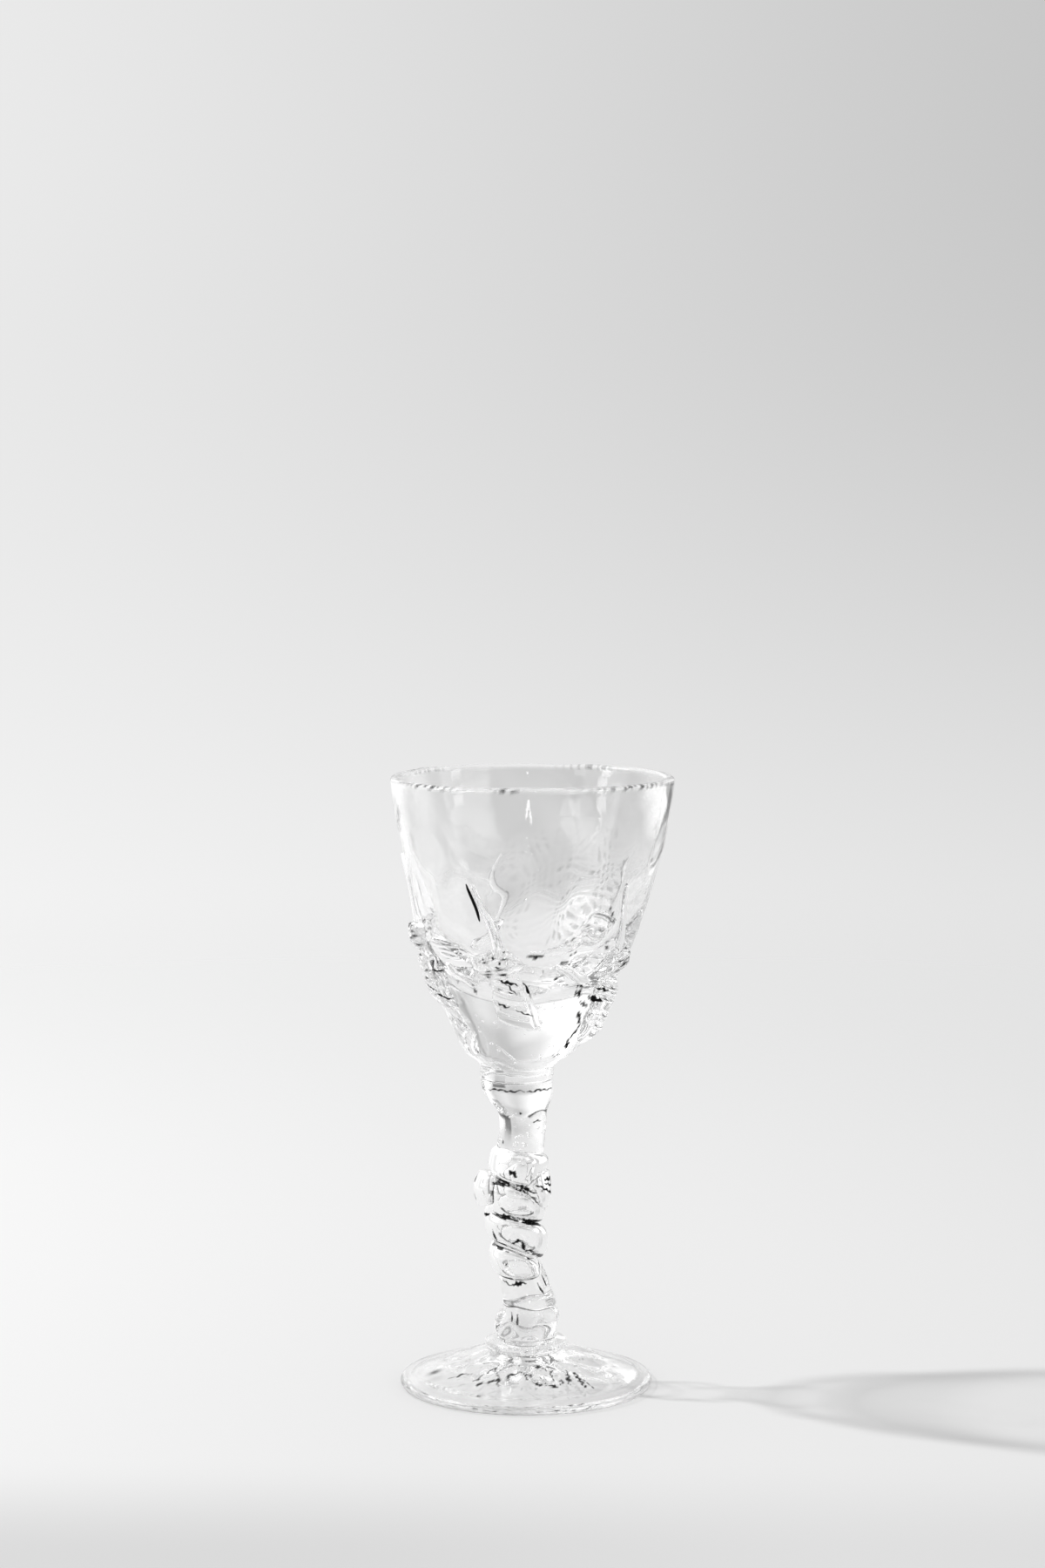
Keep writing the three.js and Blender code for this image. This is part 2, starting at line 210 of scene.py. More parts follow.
def groove(distance, width):
    """A narrow valley: 1 in its middle, falling off as a bell curve."""
    return np.exp(-((distance / width) ** 2))


def turn_from(angle, middle):
    """The turn from a middle direction to each angle, between minus and plus half a turn."""
    return (angle - middle + math.pi) % math.tau - math.pi


def soft_least(a, b, softness):
    """The smaller of a and b, with a parabola of the softness's width where they cross."""
    h = np.clip(0.5 + (b - a) / (2 * softness), 0, 1)
    return b + (a - b) * h - softness * h * (1 - h)


def axis_at(z):
    """x and y of the crooked axis at each height, eased between its stations."""
    z = np.asarray(z, float)
    i = np.clip(np.searchsorted(SWAY[:, 0], z, side="right") - 1, 0, len(SWAY) - 2)
    low, high = SWAY[i], SWAY[i + 1]
    share = ease((z - low[..., 0]) / (high[..., 0] - low[..., 0]))[..., None]
    return np.moveaxis(low[..., 1:] + (high[..., 1:] - low[..., 1:]) * share, -1, 0)


def uneven(name, angle, z):
    """Smooth unevenness: one sine for each number of waves round, with about one wave for each
    pitch of height, added up and scaled to a mean size of about its height in UNEVEN."""
    height, seed, orders, pitch = UNEVEN[name]
    draw = np.random.default_rng(seed)
    total = np.zeros(np.broadcast(angle, z).shape)
    for order in orders:
        rate, phase = draw.normal(0, 1) / pitch, draw.uniform(0, math.tau)
        total = total + np.sin(order * angle + math.tau * rate * z + phase)
    return height * (total / math.sqrt(len(orders) / 2))


def round_start(z, low, length):
    """A quarter ellipse from 0 at low to 1 that length above it."""
    down = np.clip((low + length - z) / length, 0, 1)
    return np.sqrt(1 - down**2)


def caps(z, low, high, bottom, top):
    """Round ends: a quarter ellipse up from low over bottom, and another down to high."""
    up = np.clip((z - high + top) / top, 0, 1)
    return round_start(z, low, bottom) * np.sqrt(1 - up**2)


def round_rows(length):
    """Distances of rows from a round end, closest at the end: length (1 - cosine) over a
    quarter turn."""
    turn = np.linspace(0, math.pi / 2, ROUND_ROWS)[1:]
    return length * (1 - np.cos(turn))


def cap_rows(low, high, bottom, top, count):
    """Heights from low to just under high, close together on the round ends and even between
    them."""
    first = low + round_rows(bottom)
    last = (high - round_rows(top))[::-1]
    return np.concatenate([first, np.linspace(low + bottom, high - top, count)[1:-1], last])


def dome(v, power, sink):
    """A superellipse that stands 1 high in the middle and ends sink below the surface."""
    return np.sqrt(np.clip(1 - np.abs(v) ** power, 0, None)) * (1 + sink) - sink


# The bowl's skins
def swell_curve(t, high, low):
    """A superellipse's rise from 0 to 1: (1 - (1 - t)^high)^low."""
    return (1 - (1 - np.clip(t, 0, 1)) ** high) ** low


def bowl_plain(z):
    """Outside radius of the bowl before it is made uneven: a superellipse from the base's
    radius to the rim's, which sets in smoothly."""
    share = (z - BOWL_Z - BASE_STRAIGHT) / (RIM_Z - BOWL_Z - BASE_STRAIGHT)
    fillet = ease((z - BOWL_Z - BASE_STRAIGHT / 2) / BASE_FILLET)
    return BASE_RADIUS + (RIM_RADIUS - BASE_RADIUS) * swell_curve(share, *OUTSIDE_POWERS) * fillet


def bowl_plain_skin(angle, z):
    """The plain radius at every angle."""
    return bowl_plain(z) + 0 * angle


def bowl_outside(angle, z):
    """The plain radius, less the unevenness of a hand-shaped wall, with a round bottom."""
    lower = ease((RIM_Z - z) / 40)
    slow = uneven("bowl_slow", angle, z) * (0.3 + 0.7 * lower)
    hand = np.clip(slow + uneven("bowl_quick", angle, z), -0.4, 0.04 + 0.25 * lower)
    radius = bowl_plain(z) - 0.05 - 0.25 * lower + hand
    return radius * round_start(z, BOWL_START, BOWL_ROUND)


def bowl_inside(angle, z):
    """The cavity: it keeps the wall above and rounds off below, with soft folds that run up."""
    share = (z - CAVITY_Z) / CAVITY_DEPTH
    bottom = (RIM_RADIUS - WALL) * swell_curve(share, *CAVITY_POWERS)
    plain = np.clip(soft_least(bottom, bowl_plain(z) - WALL - 0.2, WALL), 0, None)
    depth = 0.15 + 0.85 * ease((RIM_Z - z) / 30)
    kinds = ("cup_folds", "cup_narrow_folds", "cup_ripples")
    folds = sum(uneven(kind, angle, z) for kind in kinds)
    return plain * (1 + depth * np.clip(folds, -0.45, 0.45) / 30) + lace(angle, z)


def lace_net(angle, z):
    """Where the cup is wrinkled, from 0 to 1, and the wrinkles: products of slanting sines."""
    where = groove(turn_from(angle, LACE_MIDDLE), LACE_REACH)
    where = where * ease((z - LACE_LOW) / 6) * ease((LACE_HIGH - z) / 20)
    warp = 1.5 * np.sin(7 * angle + 0.25 * z) + 1.2 * np.sin(11 * angle - 0.4 * z)
    net = np.sin(46 * angle + warp + 0.9 * z) * np.sin(31 * angle - warp - 1.3 * z)
    return where, net


def lace(angle, z):
    """Fine wrinkles low on the back and right of the cup: the net at its height."""
    where, net = lace_net(angle, z)
    return LACE_HEIGHT * where * net


PROFILE_Z = np.linspace(BOWL_Z - 4, RIM_Z + 4, 800)
PROFILE_LENGTH = np.concatenate([
    [0.0],
    np.cumsum(np.hypot(np.diff(PROFILE_Z), np.diff(bowl_plain(PROFILE_Z)))),
])


def climb(z):
    """Length along the bowl's outside profile up to each height."""
    return np.interp(z, PROFILE_Z, PROFILE_LENGTH)


def climb_z(length):
    """Height at each length along the bowl's outside profile."""
    return np.interp(length, PROFILE_LENGTH, PROFILE_Z)


# The skins of the foot and the stem
def foot_top(radius):
    """Height of the foot's upper side: a low cone that turns up under the collar."""
    share = np.clip((CONE_START - radius) / (CONE_START - CONE_END), 0, 1)
    dip = DIP_DEPTH * groove(radius - DIP_RADIUS, DIP_REACH)
    return 2 * EDGE_RADIUS - dip + (FOOT_RISE - 2 * EDGE_RADIUS) * share**CONE_POWER


def foot_skin(angle, z):
    """Radius of the foot's upper side at a height, read back from the cone."""
    radii = np.linspace(CONE_START, CONE_END, 60)
    outer = np.interp(z, foot_top(radii), radii)
    return np.where(z < FOOT_RISE, outer, CONE_END - (z - FOOT_RISE) * 4) + 0 * angle


def collar_skin(angle, z):
    """A ring with round sides and slow waves round it."""
    radius = COLLAR_RADIUS - 0.15 + uneven("collar", angle, z)
    return radius * caps(z, *COLLAR_ENDS)


def root_skin(angle, z):
    """Lobes that flare at the bottom and thin out into a torn edge round the core."""
    share = (z - ROOT_Z) / (STEM_Z - ROOT_Z)
    plain = ROOT_RADIUS + (ROOT_TOP_RADIUS - ROOT_RADIUS) * ease((share - 0.1) / 0.9)
    belly = ROOT_LOBE_HEIGHT * np.sin(math.pi * np.clip(share, 0, 1))
    lobes = belly * np.cos(ROOT_LOBES * (angle - ROOT_LOBE_TURN))
    torn = STEM_Z + ROOT_EDGE_RISE + uneven("root_edge", angle, 0 * z)
    round_off = caps(z, ROOT_ENDS[0], torn, ROOT_ENDS[2], ROOT_EDGE_ROUND)
    return (plain + lobes + uneven("root", angle, z)) * round_off


def core_skin(angle, z):
    """A rod with three slow lobes that turn round it, a little wider at both ends."""
    share = np.clip((z - STEM_Z) / (NECK_Z - STEM_Z), 0, 1)
    flare = np.abs(2 * share - 1) ** 4 * np.where(share < 0.5, *CORE_FLARES)
    turning = CORE_LOBES * angle + math.tau * CORE_TWIST * share
    lobe = CORE_LOBE_HEIGHT * np.sin(math.pi * share) * np.cos(turning)
    return (STEM_RADIUS + flare + lobe + uneven("core", angle, z)) * caps(z, *CORE_ENDS)


def neck_skin(angle, z):
    """A trumpet that comes out of the core below and ends inside the bowl's base."""
    share = (z - NECK_Z + 3) / (BOWL_Z - NECK_Z)
    plain = NECK_RADIUS + NECK_FLARE * ease(share)
    return (plain + uneven("neck", angle, z) * ease(share * 2)) * caps(z, *NECK_ENDS)


def stem_skin(angle, z):
    """What the vine lies on: the core, without its round ends."""
    return core_skin(angle, np.clip(z, STEM_Z + 0.5, NECK_Z - 0.5))


# Pieces that are laid on a skin
class Laid:
    """A pad on a skin, sunk a little into it. Each kind of pad gives place, the angle and height of
    its footprint for u and v in -1 to 1, height, how far its top stands off the skin at any angle and
    height, and the method for its painted shade, how dark that is there."""

    def __init__(self, name, skin, sink, rows, columns):
        self.name, self.skin, self.sink = name, skin, sink
        self.rows, self.columns = rows, columns

    def depth(self, angle, radius, z):
        """Above 0 outside the pad and below 0 in it."""
        skin = self.skin(angle, z)
        return np.maximum(radius - skin - self.height(angle, z), skin - self.sink - radius)

    def grid(self):
        """Rows of closed rings across the pad: over its top one way and back underneath."""
        u = np.linspace(-1, 1, self.rows + 2)[1:-1, None]
        over = np.linspace(-1, 1, self.columns + 1)[None, :]
        under = over[:, -2:0:-1]
        angle, z = self.place(u, over)
        top = self.skin(angle, z) + np.maximum(self.height(angle, z), -self.sink)
        angle_u, z_u = self.place(u, under)
        bottom = self.skin(angle_u, z_u) - self.sink - 0.3 * (1 - under**2) * (1 - u**2)
        return (
            np.concatenate([angle, angle_u], 1),
            np.concatenate([top, bottom], 1),
            np.concatenate([z, z_u], 1),
        )

    def poles(self):
        """The two end points of the pad, below the skin."""
        ends = []
        for u in (-1, 1):
            angle, z = self.place(np.array([[float(u)]]), np.array([[0.0]]))
            ends.append((angle[0, 0], self.skin(angle, z)[0, 0] - self.sink, z[0, 0]))
        return ends


class Strand(Laid):
    """A band along a path: angles and heights are its dense middle line, half its half widths
    and swell its thicknesses. Across it the top is a superellipse of that power, which ends
    below the skin. Off the band the height is that of its nearest point on the middle line."""

    def __init__(self, name, skin, angles, heights, half, swell, power, sink, rows, columns):
        super().__init__(name, skin, sink, rows, columns)
        self.angles, self.heights = angles, heights
        self.half, self.swell, self.power = half, swell, power
        self.share = np.linspace(-1, 1, len(angles))
        self.around = skin(angles, heights)
        step = np.stack([np.gradient(angles) * self.around, np.gradient(heights)])
        self.step = step / np.hypot(*step)

    def along(self, u, values):
        """The middle line's value at each u."""
        return np.interp(u, self.share, values)

    def place(self, u, v):
        """v half widths off the middle line, square to its direction there."""
        width = v * self.along(u, self.half)
        aside = width * self.along(u, self.step[1]) / self.along(u, self.around)
        up = width * self.along(u, self.step[0])
        return self.along(u, self.angles) - aside, self.along(u, self.heights) + up

    def across(self, angle, z):
        """0 on the nearest point of the middle line and 1 on the edge there, and its index."""
        flat = np.stack(np.broadcast_arrays(angle, z)).reshape(2, -1)
        least, near = np.empty(flat.shape[1]), np.empty(flat.shape[1], int)
        for start in range(0, flat.shape[1], BATCH):
            part = slice(start, start + BATCH)
            a, level = flat[:, part, None]
            side = turn_from(a, self.angles) * self.around
            off = np.hypot(side, level - self.heights) / self.half
            near[part] = off.argmin(1)
            least[part] = np.clip(off.min(1), 0, 1)
        shape = np.broadcast(angle, z).shape
        return least.reshape(shape), near.reshape(shape)

    def height(self, angle, z):
        """The dome at that share of the half width, and well below the skin off the band."""
        least, near = self.across(angle, z)
        rise = dome(least, self.power, 0)
        return self.swell[near] * rise - self.sink * (1 - rise) - self.sink * (least >= 1)

    def painted_shade(self, angle, radius, z):
        """Painted shade on the flanks, broken off and on along the strand, as far up as the upper
        turns.
        """
        flank = ease((self.across(angle, z)[0] - 0.76) / 0.06)
        breaks = np.sin(5.3 * angle + 0.9 * z) + 0.5 * np.sin(11 * angle - 2 * z)
        head = ease((UPPER_TURNS_Z - z) / 2)
        return flank * ease((breaks + 0.05) / 0.3) * (0.65 - 0.35 * np.sin(angle)) * head


class BowlPad(Laid):
    """A pad on the bowl with two straight axes that need not be square: a runs along it,
    tilted from upright to the left, and b across it, falling to the right, both from -1 to 1.
    Each kind of pad gives outline, its half width at a, relief, its height at a, b and the share
    across, and marks, how dark its painted shade is there."""

    def __init__(self, name, angle, z, tilt, fall, long, wide, rows, columns):
        super().__init__(name, bowl_outside, PAD_SINK, rows, columns)
        self.middle, self.start = angle, climb(z)
        self.tilt, self.fall = math.radians(tilt), math.radians(fall)
        self.half_long, self.half_wide = long / 2, wide / 2

    def place(self, u, v):
        """The two axes' steps, round the bowl and along its profile."""
        a, b = u * self.half_long + 0 * v, v * self.outline(u) * self.half_wide
        side = -a * math.sin(self.tilt) + b * math.cos(self.fall)
        z = climb_z(self.start + a * math.cos(self.tilt) - b * math.sin(self.fall))
        return self.middle + side / bowl_plain(z), z

    def own_axes(self, angle, z):
        """a, the share across, b, and whether the place is on the pad: place undone."""
        side = turn_from(angle, self.middle) * bowl_plain(z)
        up = climb(z) - self.start
        square = math.cos(self.tilt + self.fall)
        a = (side * math.sin(self.fall) + up * math.cos(self.fall)) / (self.half_long * square)
        b = (side * math.cos(self.tilt) + up * math.sin(self.tilt)) / (self.half_wide * square)
        across = b / np.maximum(self.outline(a), 1e-3)
        inside = (np.abs(a) < 1) & (np.abs(across) < 1)
        return np.clip(a, -1, 1), np.clip(across, -1, 1), b, inside

    def height(self, angle, z):
        """The relief on the pad, and below the skin off it."""
        a, across, b, inside = self.own_axes(angle, z)
        return np.where(inside, self.relief(a, across, b), -self.sink)

    def painted_shade(self, angle, radius, z):
        """The painted shade marks on the pad's upper side, and none off it."""
        a, across, b, inside = self.own_axes(angle, z)
        return np.where(inside & (radius > bowl_outside(angle, z)), self.marks(a, b), 0)


class Leaf(BowlPad):
    """A rounded slanting block with cut veins across it, a line of painted shade in each and one down
    its right side."""

    VEINS = (0.66, 0.3, -0.08, -0.46)
    SIDE_VEIN = 0.66
    VEIN_WIDTH, SIDE_WIDTH = 0.055, 0.07
    VEIN_DEPTH, SIDE_DEPTH = 1.0, 0.8
    RISE = 2.7
    GRAIN = (120, 90)

    def __init__(self, name, seed, angle, z, lean, long, wide):
        super().__init__(name, angle, z, lean, VEIN_FALL, long, wide, *self.GRAIN)
        draw = np.random.default_rng(seed)
        count = len(self.VEINS)
        self.seed = seed
        self.veins = np.array(self.VEINS) + draw.uniform(-0.04, 0.04, count)
        self.starts = draw.uniform(-0.85, -0.5, count)
        self.ends = draw.uniform(0.0, 0.5, count)

    def outline(self, a):
        """A rounded oblong, a little wider at the bottom."""
        edge = np.clip(1 - np.abs(a) ** 6, 0, None) ** 0.36
        return edge * (1 - 0.13 * a + 0.04 * np.cos(7 * a + self.seed))

    def relief(self, a, across, b):
        """A flat dome both ways, less a bent valley for each vein and one down the side."""
        flat = PAD_SINK / 3.2
        top = dome(a, 4.2, flat) + dome(across, 3.8, flat) - 1
        cut = np.zeros(np.broadcast(a, b).shape)
        reach = ease((0.62 - b) / 0.3) * ease((b + 0.95) / 0.3)
        for vein in self.veins:
            cut = cut + reach * groove(a - vein - 0.1 * b * b, self.VEIN_WIDTH)
        side = groove(b - self.SIDE_VEIN, self.SIDE_WIDTH) * ease((0.92 - np.abs(a)) / 0.2)
        cut = np.clip(cut + self.SIDE_DEPTH * side, 0, 1) * np.clip(top * 2, 0, 1)
        return self.RISE * top - self.VEIN_DEPTH * cut

    def marks(self, a, b):
        """A torn line of painted shade just below each vein, from its start to its end, and one down
        the side.
        """
        dark = np.zeros(np.broadcast(a, b).shape)
        for vein, start, end in zip(self.veins, self.starts, self.ends):
            reach = ease((b - start) / 0.2) * ease((end - b) / 0.25)
            thick = 0.02 + 0.02 * ease((b - start) / (end - start))
            torn = ease((np.sin(7 * b + 9 * vein + self.seed) + 0.6 * np.sin(17 * b)) / 0.5)
            dark = dark + reach * torn * groove(a - vein - 0.1 * b * b + 0.03, thick)
        side = groove(b - self.SIDE_VEIN, 0.05) * ease((0.8 - a) / 0.1) * ease(a / 0.35)
        return np.clip(dark + side, 0, 1)


class Knot(BowlPad):
    """Three fat strands that cross in one lump: the highest of three slanted ridges, with flecks of
    painted shade where they cross."""

    TILTS = (42, -28, 75)
    SHIFTS = (0.34, -0.3, 0.05)
    FLECKS = 9
    LONG, WIDE = 9.5, 11
    LEAN = 10
    RISE = 3.2
    GRAIN = (60, 60)

    def __init__(self, name, seed, angle, z):
        super().__init__(name, angle, z, self.LEAN, -self.LEAN, self.LONG, self.WIDE, *self.GRAIN)
        draw = np.random.default_rng(seed)
        self.seed = seed
        self.tilts = np.radians(self.TILTS) + draw.uniform(-0.2, 0.2, len(self.TILTS))
        self.flecks = draw.uniform(-0.65, 0.65, (self.FLECKS, 2))

    def outline(self, a):
        """An oval with an uneven edge."""
        edge = np.sqrt(np.clip(1 - np.abs(a) ** 2.4, 0, None))
        return edge * (1 + 0.16 * np.sin(4 * a + self.seed))

    def relief(self, a, across, b):
        """The highest of the ridges, each a half round across its own wavy line."""
        edge = np.minimum(dome(a, 3, 0), dome(across, 3, 0))
        ridges = []
        for tilt, shift in zip(self.tilts, self.SHIFTS):
            off = (b * np.cos(tilt) - a * np.sin(tilt) - shift + 0.12 * np.sin(5 * a)) / 0.34
            ridges.append(0.35 + 0.65 * np.sqrt(np.clip(1 - off**2, 0, 1)) + 0 * b)
        return (self.RISE * np.maximum.reduce(ridges) + PAD_SINK) * edge - PAD_SINK

    def marks(self, a, b):
        """Bell-shaped flecks of painted shade, some of them wider than others."""
        dark = np.zeros(np.broadcast(a, b).shape)
        for i, (up, right) in enumerate(self.flecks):
            wide = 1 + 0.4 * (i % 3)
            dark = dark + groove(np.hypot((a - up) / 0.5, (b - right) / wide), 0.12)
        return np.clip(dark, 0, 1)


# Creases: fine lines of painted shade where the glass folds on itself. Each has the photograph's
# pixel, x and y, at its first end, the same at its last end, and its width in mm
STEM_CREASES = [
    (569, 1249, 598.8, 1251.6, 0.5), (598.8, 1251.6, 624.9, 1247.9, 0.5),
    (556, 1259, 568.3, 1274, 0.8), (597.7, 1277, 598.5, 1280, 1.0),
    (613.7, 1288.8, 623, 1286.2, 0.5), (573.9, 1310, 574, 1313, 0.8),
    (561.6, 1331.6, 561.6, 1339.8, 0.9), (585.8, 1342.8, 593.2, 1351, 1.0),
    (617.4, 1354, 626, 1350, 1.2), (623, 1350, 628, 1357, 1.2), (617, 1358, 628, 1359, 0.9),
    (593.2, 1359.5, 610, 1368.8, 1.0), (610, 1359.5, 624.9, 1368.8, 0.9),
    (541, 1367, 547.5, 1376, 0.8), (547.5, 1355.8, 550.4, 1348, 0.6), (567, 1356, 571, 1362, 0.6),
    (549.3, 1391.9, 563.5, 1393, 1.2), (572.8, 1394, 595.2, 1398, 0.8), (595, 1399, 617.4, 1403, 1.2),
    (568.3, 1411, 570.9, 1426.5, 0.7), (560, 1409, 563, 1420, 0.5),
    (587.6, 1426.5, 599, 1423.9, 0.9), (599, 1423.9, 602.5, 1435.8, 0.8),
    (602.5, 1435.8, 613.7, 1436.9, 0.7), (574.6, 1468.5, 585.8, 1477.4, 0.5),
    (585.8, 1475, 604.4, 1474, 1.1), (622.2, 1446.9, 624.9, 1458, 0.6),
    (624.9, 1461.8, 630, 1476.7, 0.7), (619.3, 1473, 627, 1487.9, 0.6), (580, 1508, 583, 1522, 0.6),
    (594.8, 1508, 592, 1522, 0.6),
]
BOWL_CREASES = [
    (604, 1099.3, 622.6, 1097.5, 0.9), (612, 1096, 617, 1102, 0.7), (557, 1086, 557, 1088, 0.7),
    (573, 1089, 574, 1091, 0.7), (555, 1099, 560, 1101, 0.6), (566, 1100, 570, 1101, 0.7),
    (575, 1103, 577, 1105, 0.7), (577, 1109, 572, 1110, 0.5), (664, 1128, 670, 1133, 2.0),
    (662, 1138, 669, 1143, 1.9), (676, 1144, 684, 1148, 1.5), (666.5, 1150.4, 675, 1155, 1.3),
    (683, 1133, 690, 1138, 0.6), (664, 1160, 664.5, 1178, 1.6), (664, 1178, 654, 1194, 1.2),
    (652.4, 1193, 649.5, 1204, 2.0), (654, 1197, 647.7, 1209, 0.5), (647.7, 1209, 630, 1213.6, 0.5),
    (542.5, 1131, 548, 1142, 0.6), (500, 1112, 511.6, 1117, 0.5), (524, 1118, 527, 1132, 0.6),
    (510, 1140, 522, 1146, 0.6), (500, 1128, 512, 1138, 0.4), (700.6, 1040, 706, 1060, 0.5),
    (655, 1097, 664, 1093, 0.4), (640, 1107, 655, 1104, 0.5), (545, 1205, 551, 1212, 0.4),
]
LEAF_CREASES = [
    (570.4, 1122.9, 595, 1131.2, 0.7), (579.5, 1127.6, 595.6, 1141.4, 0.4),
    (600.5, 1121.4, 609.6, 1145.7, 0.9), (574, 1150.4, 585.3, 1155.9, 0.5),
    (564.3, 1154, 570.8, 1165, 0.6), (593.3, 1158.4, 611.4, 1165, 0.4), (585, 1137, 592, 1140, 0.3),
]
FOOT_CREASES = [
    (526.6, 1579.1, 542.9, 1576.2, 0.5), (543.7, 1586.4, 558.1, 1576.9, 0.6),
    (547.5, 1593.8, 552.4, 1586.4, 0.6), (559.5, 1576.8, 572.5, 1567.8, 0.6),
    (569.5, 1571.5, 573.4, 1592, 0.5), (581.9, 1580.8, 593.7, 1575.2, 0.8),
    (593.7, 1575.2, 613.2, 1579, 0.6), (603, 1579.1, 604.5, 1583, 0.8),
    (617.8, 1586.4, 620.9, 1591.8, 0.7), (610.1, 1567.8, 632.9, 1573.2, 0.5),
    (632.9, 1573.2, 636.1, 1586.3, 0.5), (649.4, 1571.4, 654.7, 1588.2, 0.7),
    (658.2, 1573.3, 673, 1591.8, 0.5), (669.5, 1582.7, 682.6, 1591.8, 0.5),
    (624.4, 1586.3, 644.1, 1593.8, 0.6), (560.7, 1589, 566.6, 1583.1, 0.5),
    (643.2, 1578.1, 645.3, 1589.9, 0.4), (515.1, 1583.1, 525.6, 1579.8, 0.4),
]


# The plain radius of the stem and of its root, and the height at which the root narrows
CREASE_RADIUS = 7.2
ROOT_PLAIN = 9.5
ROOT_NARROWS = ROOT_Z + 7

# How the line of sight of a pixel is followed: how far in front of the middle it starts, how
# far it goes and its step, in mm
SIGHT_START = 60
SIGHT_LENGTH = 150
SIGHT_STEP = 0.05

# Directions in degrees of the stem's left and right edge, for pixels just past them
EDGE_SIDES = (-176, -4)


def plain_glass(z):
    """Radius of the plain glass at each height: bowl, stem, root and foot."""
    heights = [z > BOWL_Z, z > ROOT_NARROWS, z > FOOT_RISE]
    return np.select(heights, [bowl_plain(z), CREASE_RADIUS, ROOT_PLAIN], foot_skin(0, z))


def camera_axes():
    """The directions straight ahead and up for the camera, and its lens in pixels."""
    dip = math.radians(CAMERA_DIP)
    ahead = np.array([0, math.cos(dip), -math.sin(dip)])
    up = np.array([0, math.sin(dip), math.cos(dip)])
    return ahead, up, LENS / FRAME_WIDTH * PHOTO_HIGH


def stem_edge(x, y):
    """Direction and height of the stem's edge that is level with a pixel beside it."""
    ahead, up, lens = camera_axes()
    heights = np.arange(0, 100, 0.1)
    axis = np.stack([*axis_at(heights), heights], -1) - np.array(CAMERA_PLACE) / MM
    rows = PHOTO_HIGH / 2 - lens * (axis @ up) / (axis @ ahead)
    level = np.argmin(np.abs(rows - y))
    middle = PHOTO_WIDE / 2 + lens * axis[level, 0] / (axis[level] @ ahead)
    return EDGE_SIDES[int(x > middle)], heights[level]


def on_glass(x, y):
    """Direction in degrees, height and radius of the place on the plain glass that the
    photograph shows at a pixel, to the nearest degree and tenth of a millimetre."""
    ahead, up, lens = camera_axes()
    sight = ahead * lens + up * (PHOTO_HIGH / 2 - y) + np.array([x - PHOTO_WIDE / 2, 0, 0])
    camera = np.array(CAMERA_PLACE) / MM
    far = np.arange(0, SIGHT_LENGTH, SIGHT_STEP) - SIGHT_START - camera[1]
    place = camera + far[:, None] * sight / sight[1]
    across, deep = place[:, :2].T - axis_at(place[:, 2])
    radius = np.hypot(across, deep)
    inside = (radius < plain_glass(place[:, 2])) & (place[:, 2] > 0) & (place[:, 2] < RIM_Z)
    if not inside.any():
        direction, height = stem_edge(x, y)
        return direction, round(float(height), 1), CREASE_RADIUS
    first = np.argmax(inside)
    direction = round(math.degrees(math.atan2(deep[first], across[first])))
    return direction, round(float(place[first, 2]), 1), round(float(radius[first]), 1)


def laid_out(strokes):
    """Both ends of each crease on the glass, as direction, height and radius, and its width."""
    return [
        (on_glass(x, y), on_glass(end_x, end_y), width)
        for x, y, end_x, end_y, width in strokes
    ]


FOOT_LINES = laid_out(FOOT_CREASES)


# Painted shade on the glass: each gives 0 to 1 at an angle, radius and height


def stem_plain(z):
    """The radius on which the stem's creases are laid out."""
    return CREASE_RADIUS + 0 * z


def painted_crease_shade(strokes, plain):
    """How dark the painted shade on a surface is at a place: 1 on a line and 0 off it. The lines
    taper to both ends and wander by part of their width. plain is the radius at a height."""
    lines = laid_out(strokes)

    def painted_shade(angle, radius, z):
        dark = np.zeros(np.broadcast(angle, z).shape)
        for (first, low, _), (last, high, _), width in lines:
            around = float(plain((low + high) / 2))
            run = math.radians(last - first) * around, high - low
            length = math.hypot(*run)
            side = turn_from(angle, math.radians(first)) * around
            up = z - low
            share = np.clip((side * run[0] + up * run[1]) / (run[0] ** 2 + run[1] ** 2), 0, 1)
            sway = np.sin(1.3 * side + up + first) + np.sin(3.3 * side - up)
            wander = min(0.3 * width, 0.16) * sway
            off = np.hypot(
                side - run[0] * share - wander * run[1] / length,
                up - run[1] * share + wander * run[0] / length,
            )
            taper = 0.25 + 0.75 * np.sin(math.pi * share)
            half = width / 2 * taper * (0.9 + 0.3 * np.sin(5 * side))
            dark = np.maximum(dark, ease((1.25 * half - off) / (0.5 * half)))
        return dark
    return painted_shade


def painted_foot_crease_shade(angle, radius, z):
    """The same for the foot's upper side, worked out in plan."""
    x, y = radius * np.cos(angle), radius * np.sin(angle)
    curl = np.sin(2.3 * x - 3.1 * y)
    dark = np.zeros(x.shape)
    for (first, _, start), (last, _, end), width in FOOT_LINES:
        first, last = math.radians(first), math.radians(last)
        low = start * math.cos(first), start * math.sin(first)
        run = end * math.cos(last) - low[0], end * math.sin(last) - low[1]
        length = math.hypot(*run)
        share = np.clip(((x - low[0]) * run[0] + (y - low[1]) * run[1]) / length**2, 0, 1)
        off = np.hypot(x - low[0] - run[0] * share, y - low[1] - run[1] * share)
        wander = 0.35 * (np.sin(1.9 * x + 1.1 * y + first) + 0.6 * curl)
        side = (run[0] * (y - low[1]) - run[1] * (x - low[0])) / length
        beside = np.abs(off - np.abs(side)) < 0.01
        off = np.where(beside, np.abs(side - wander), off)
        half = width / 2 * (0.4 + 0.6 * np.sin(math.pi * share))
        dark = np.maximum(dark, ease((1.25 * half - off) / (0.6 * half)))
    return dark * (z > foot_top(radius) - UPPER_SIDE)


# How far below the foot's upper side a point still belongs to it
UPPER_SIDE = 0.8

# Spots of painted shade on the foot: x, y, reach and how dark
FOOT_SPOTS = ((-23.8, -6.4, 1.6, 0.75), (22.7, -3, 1, 0.3))
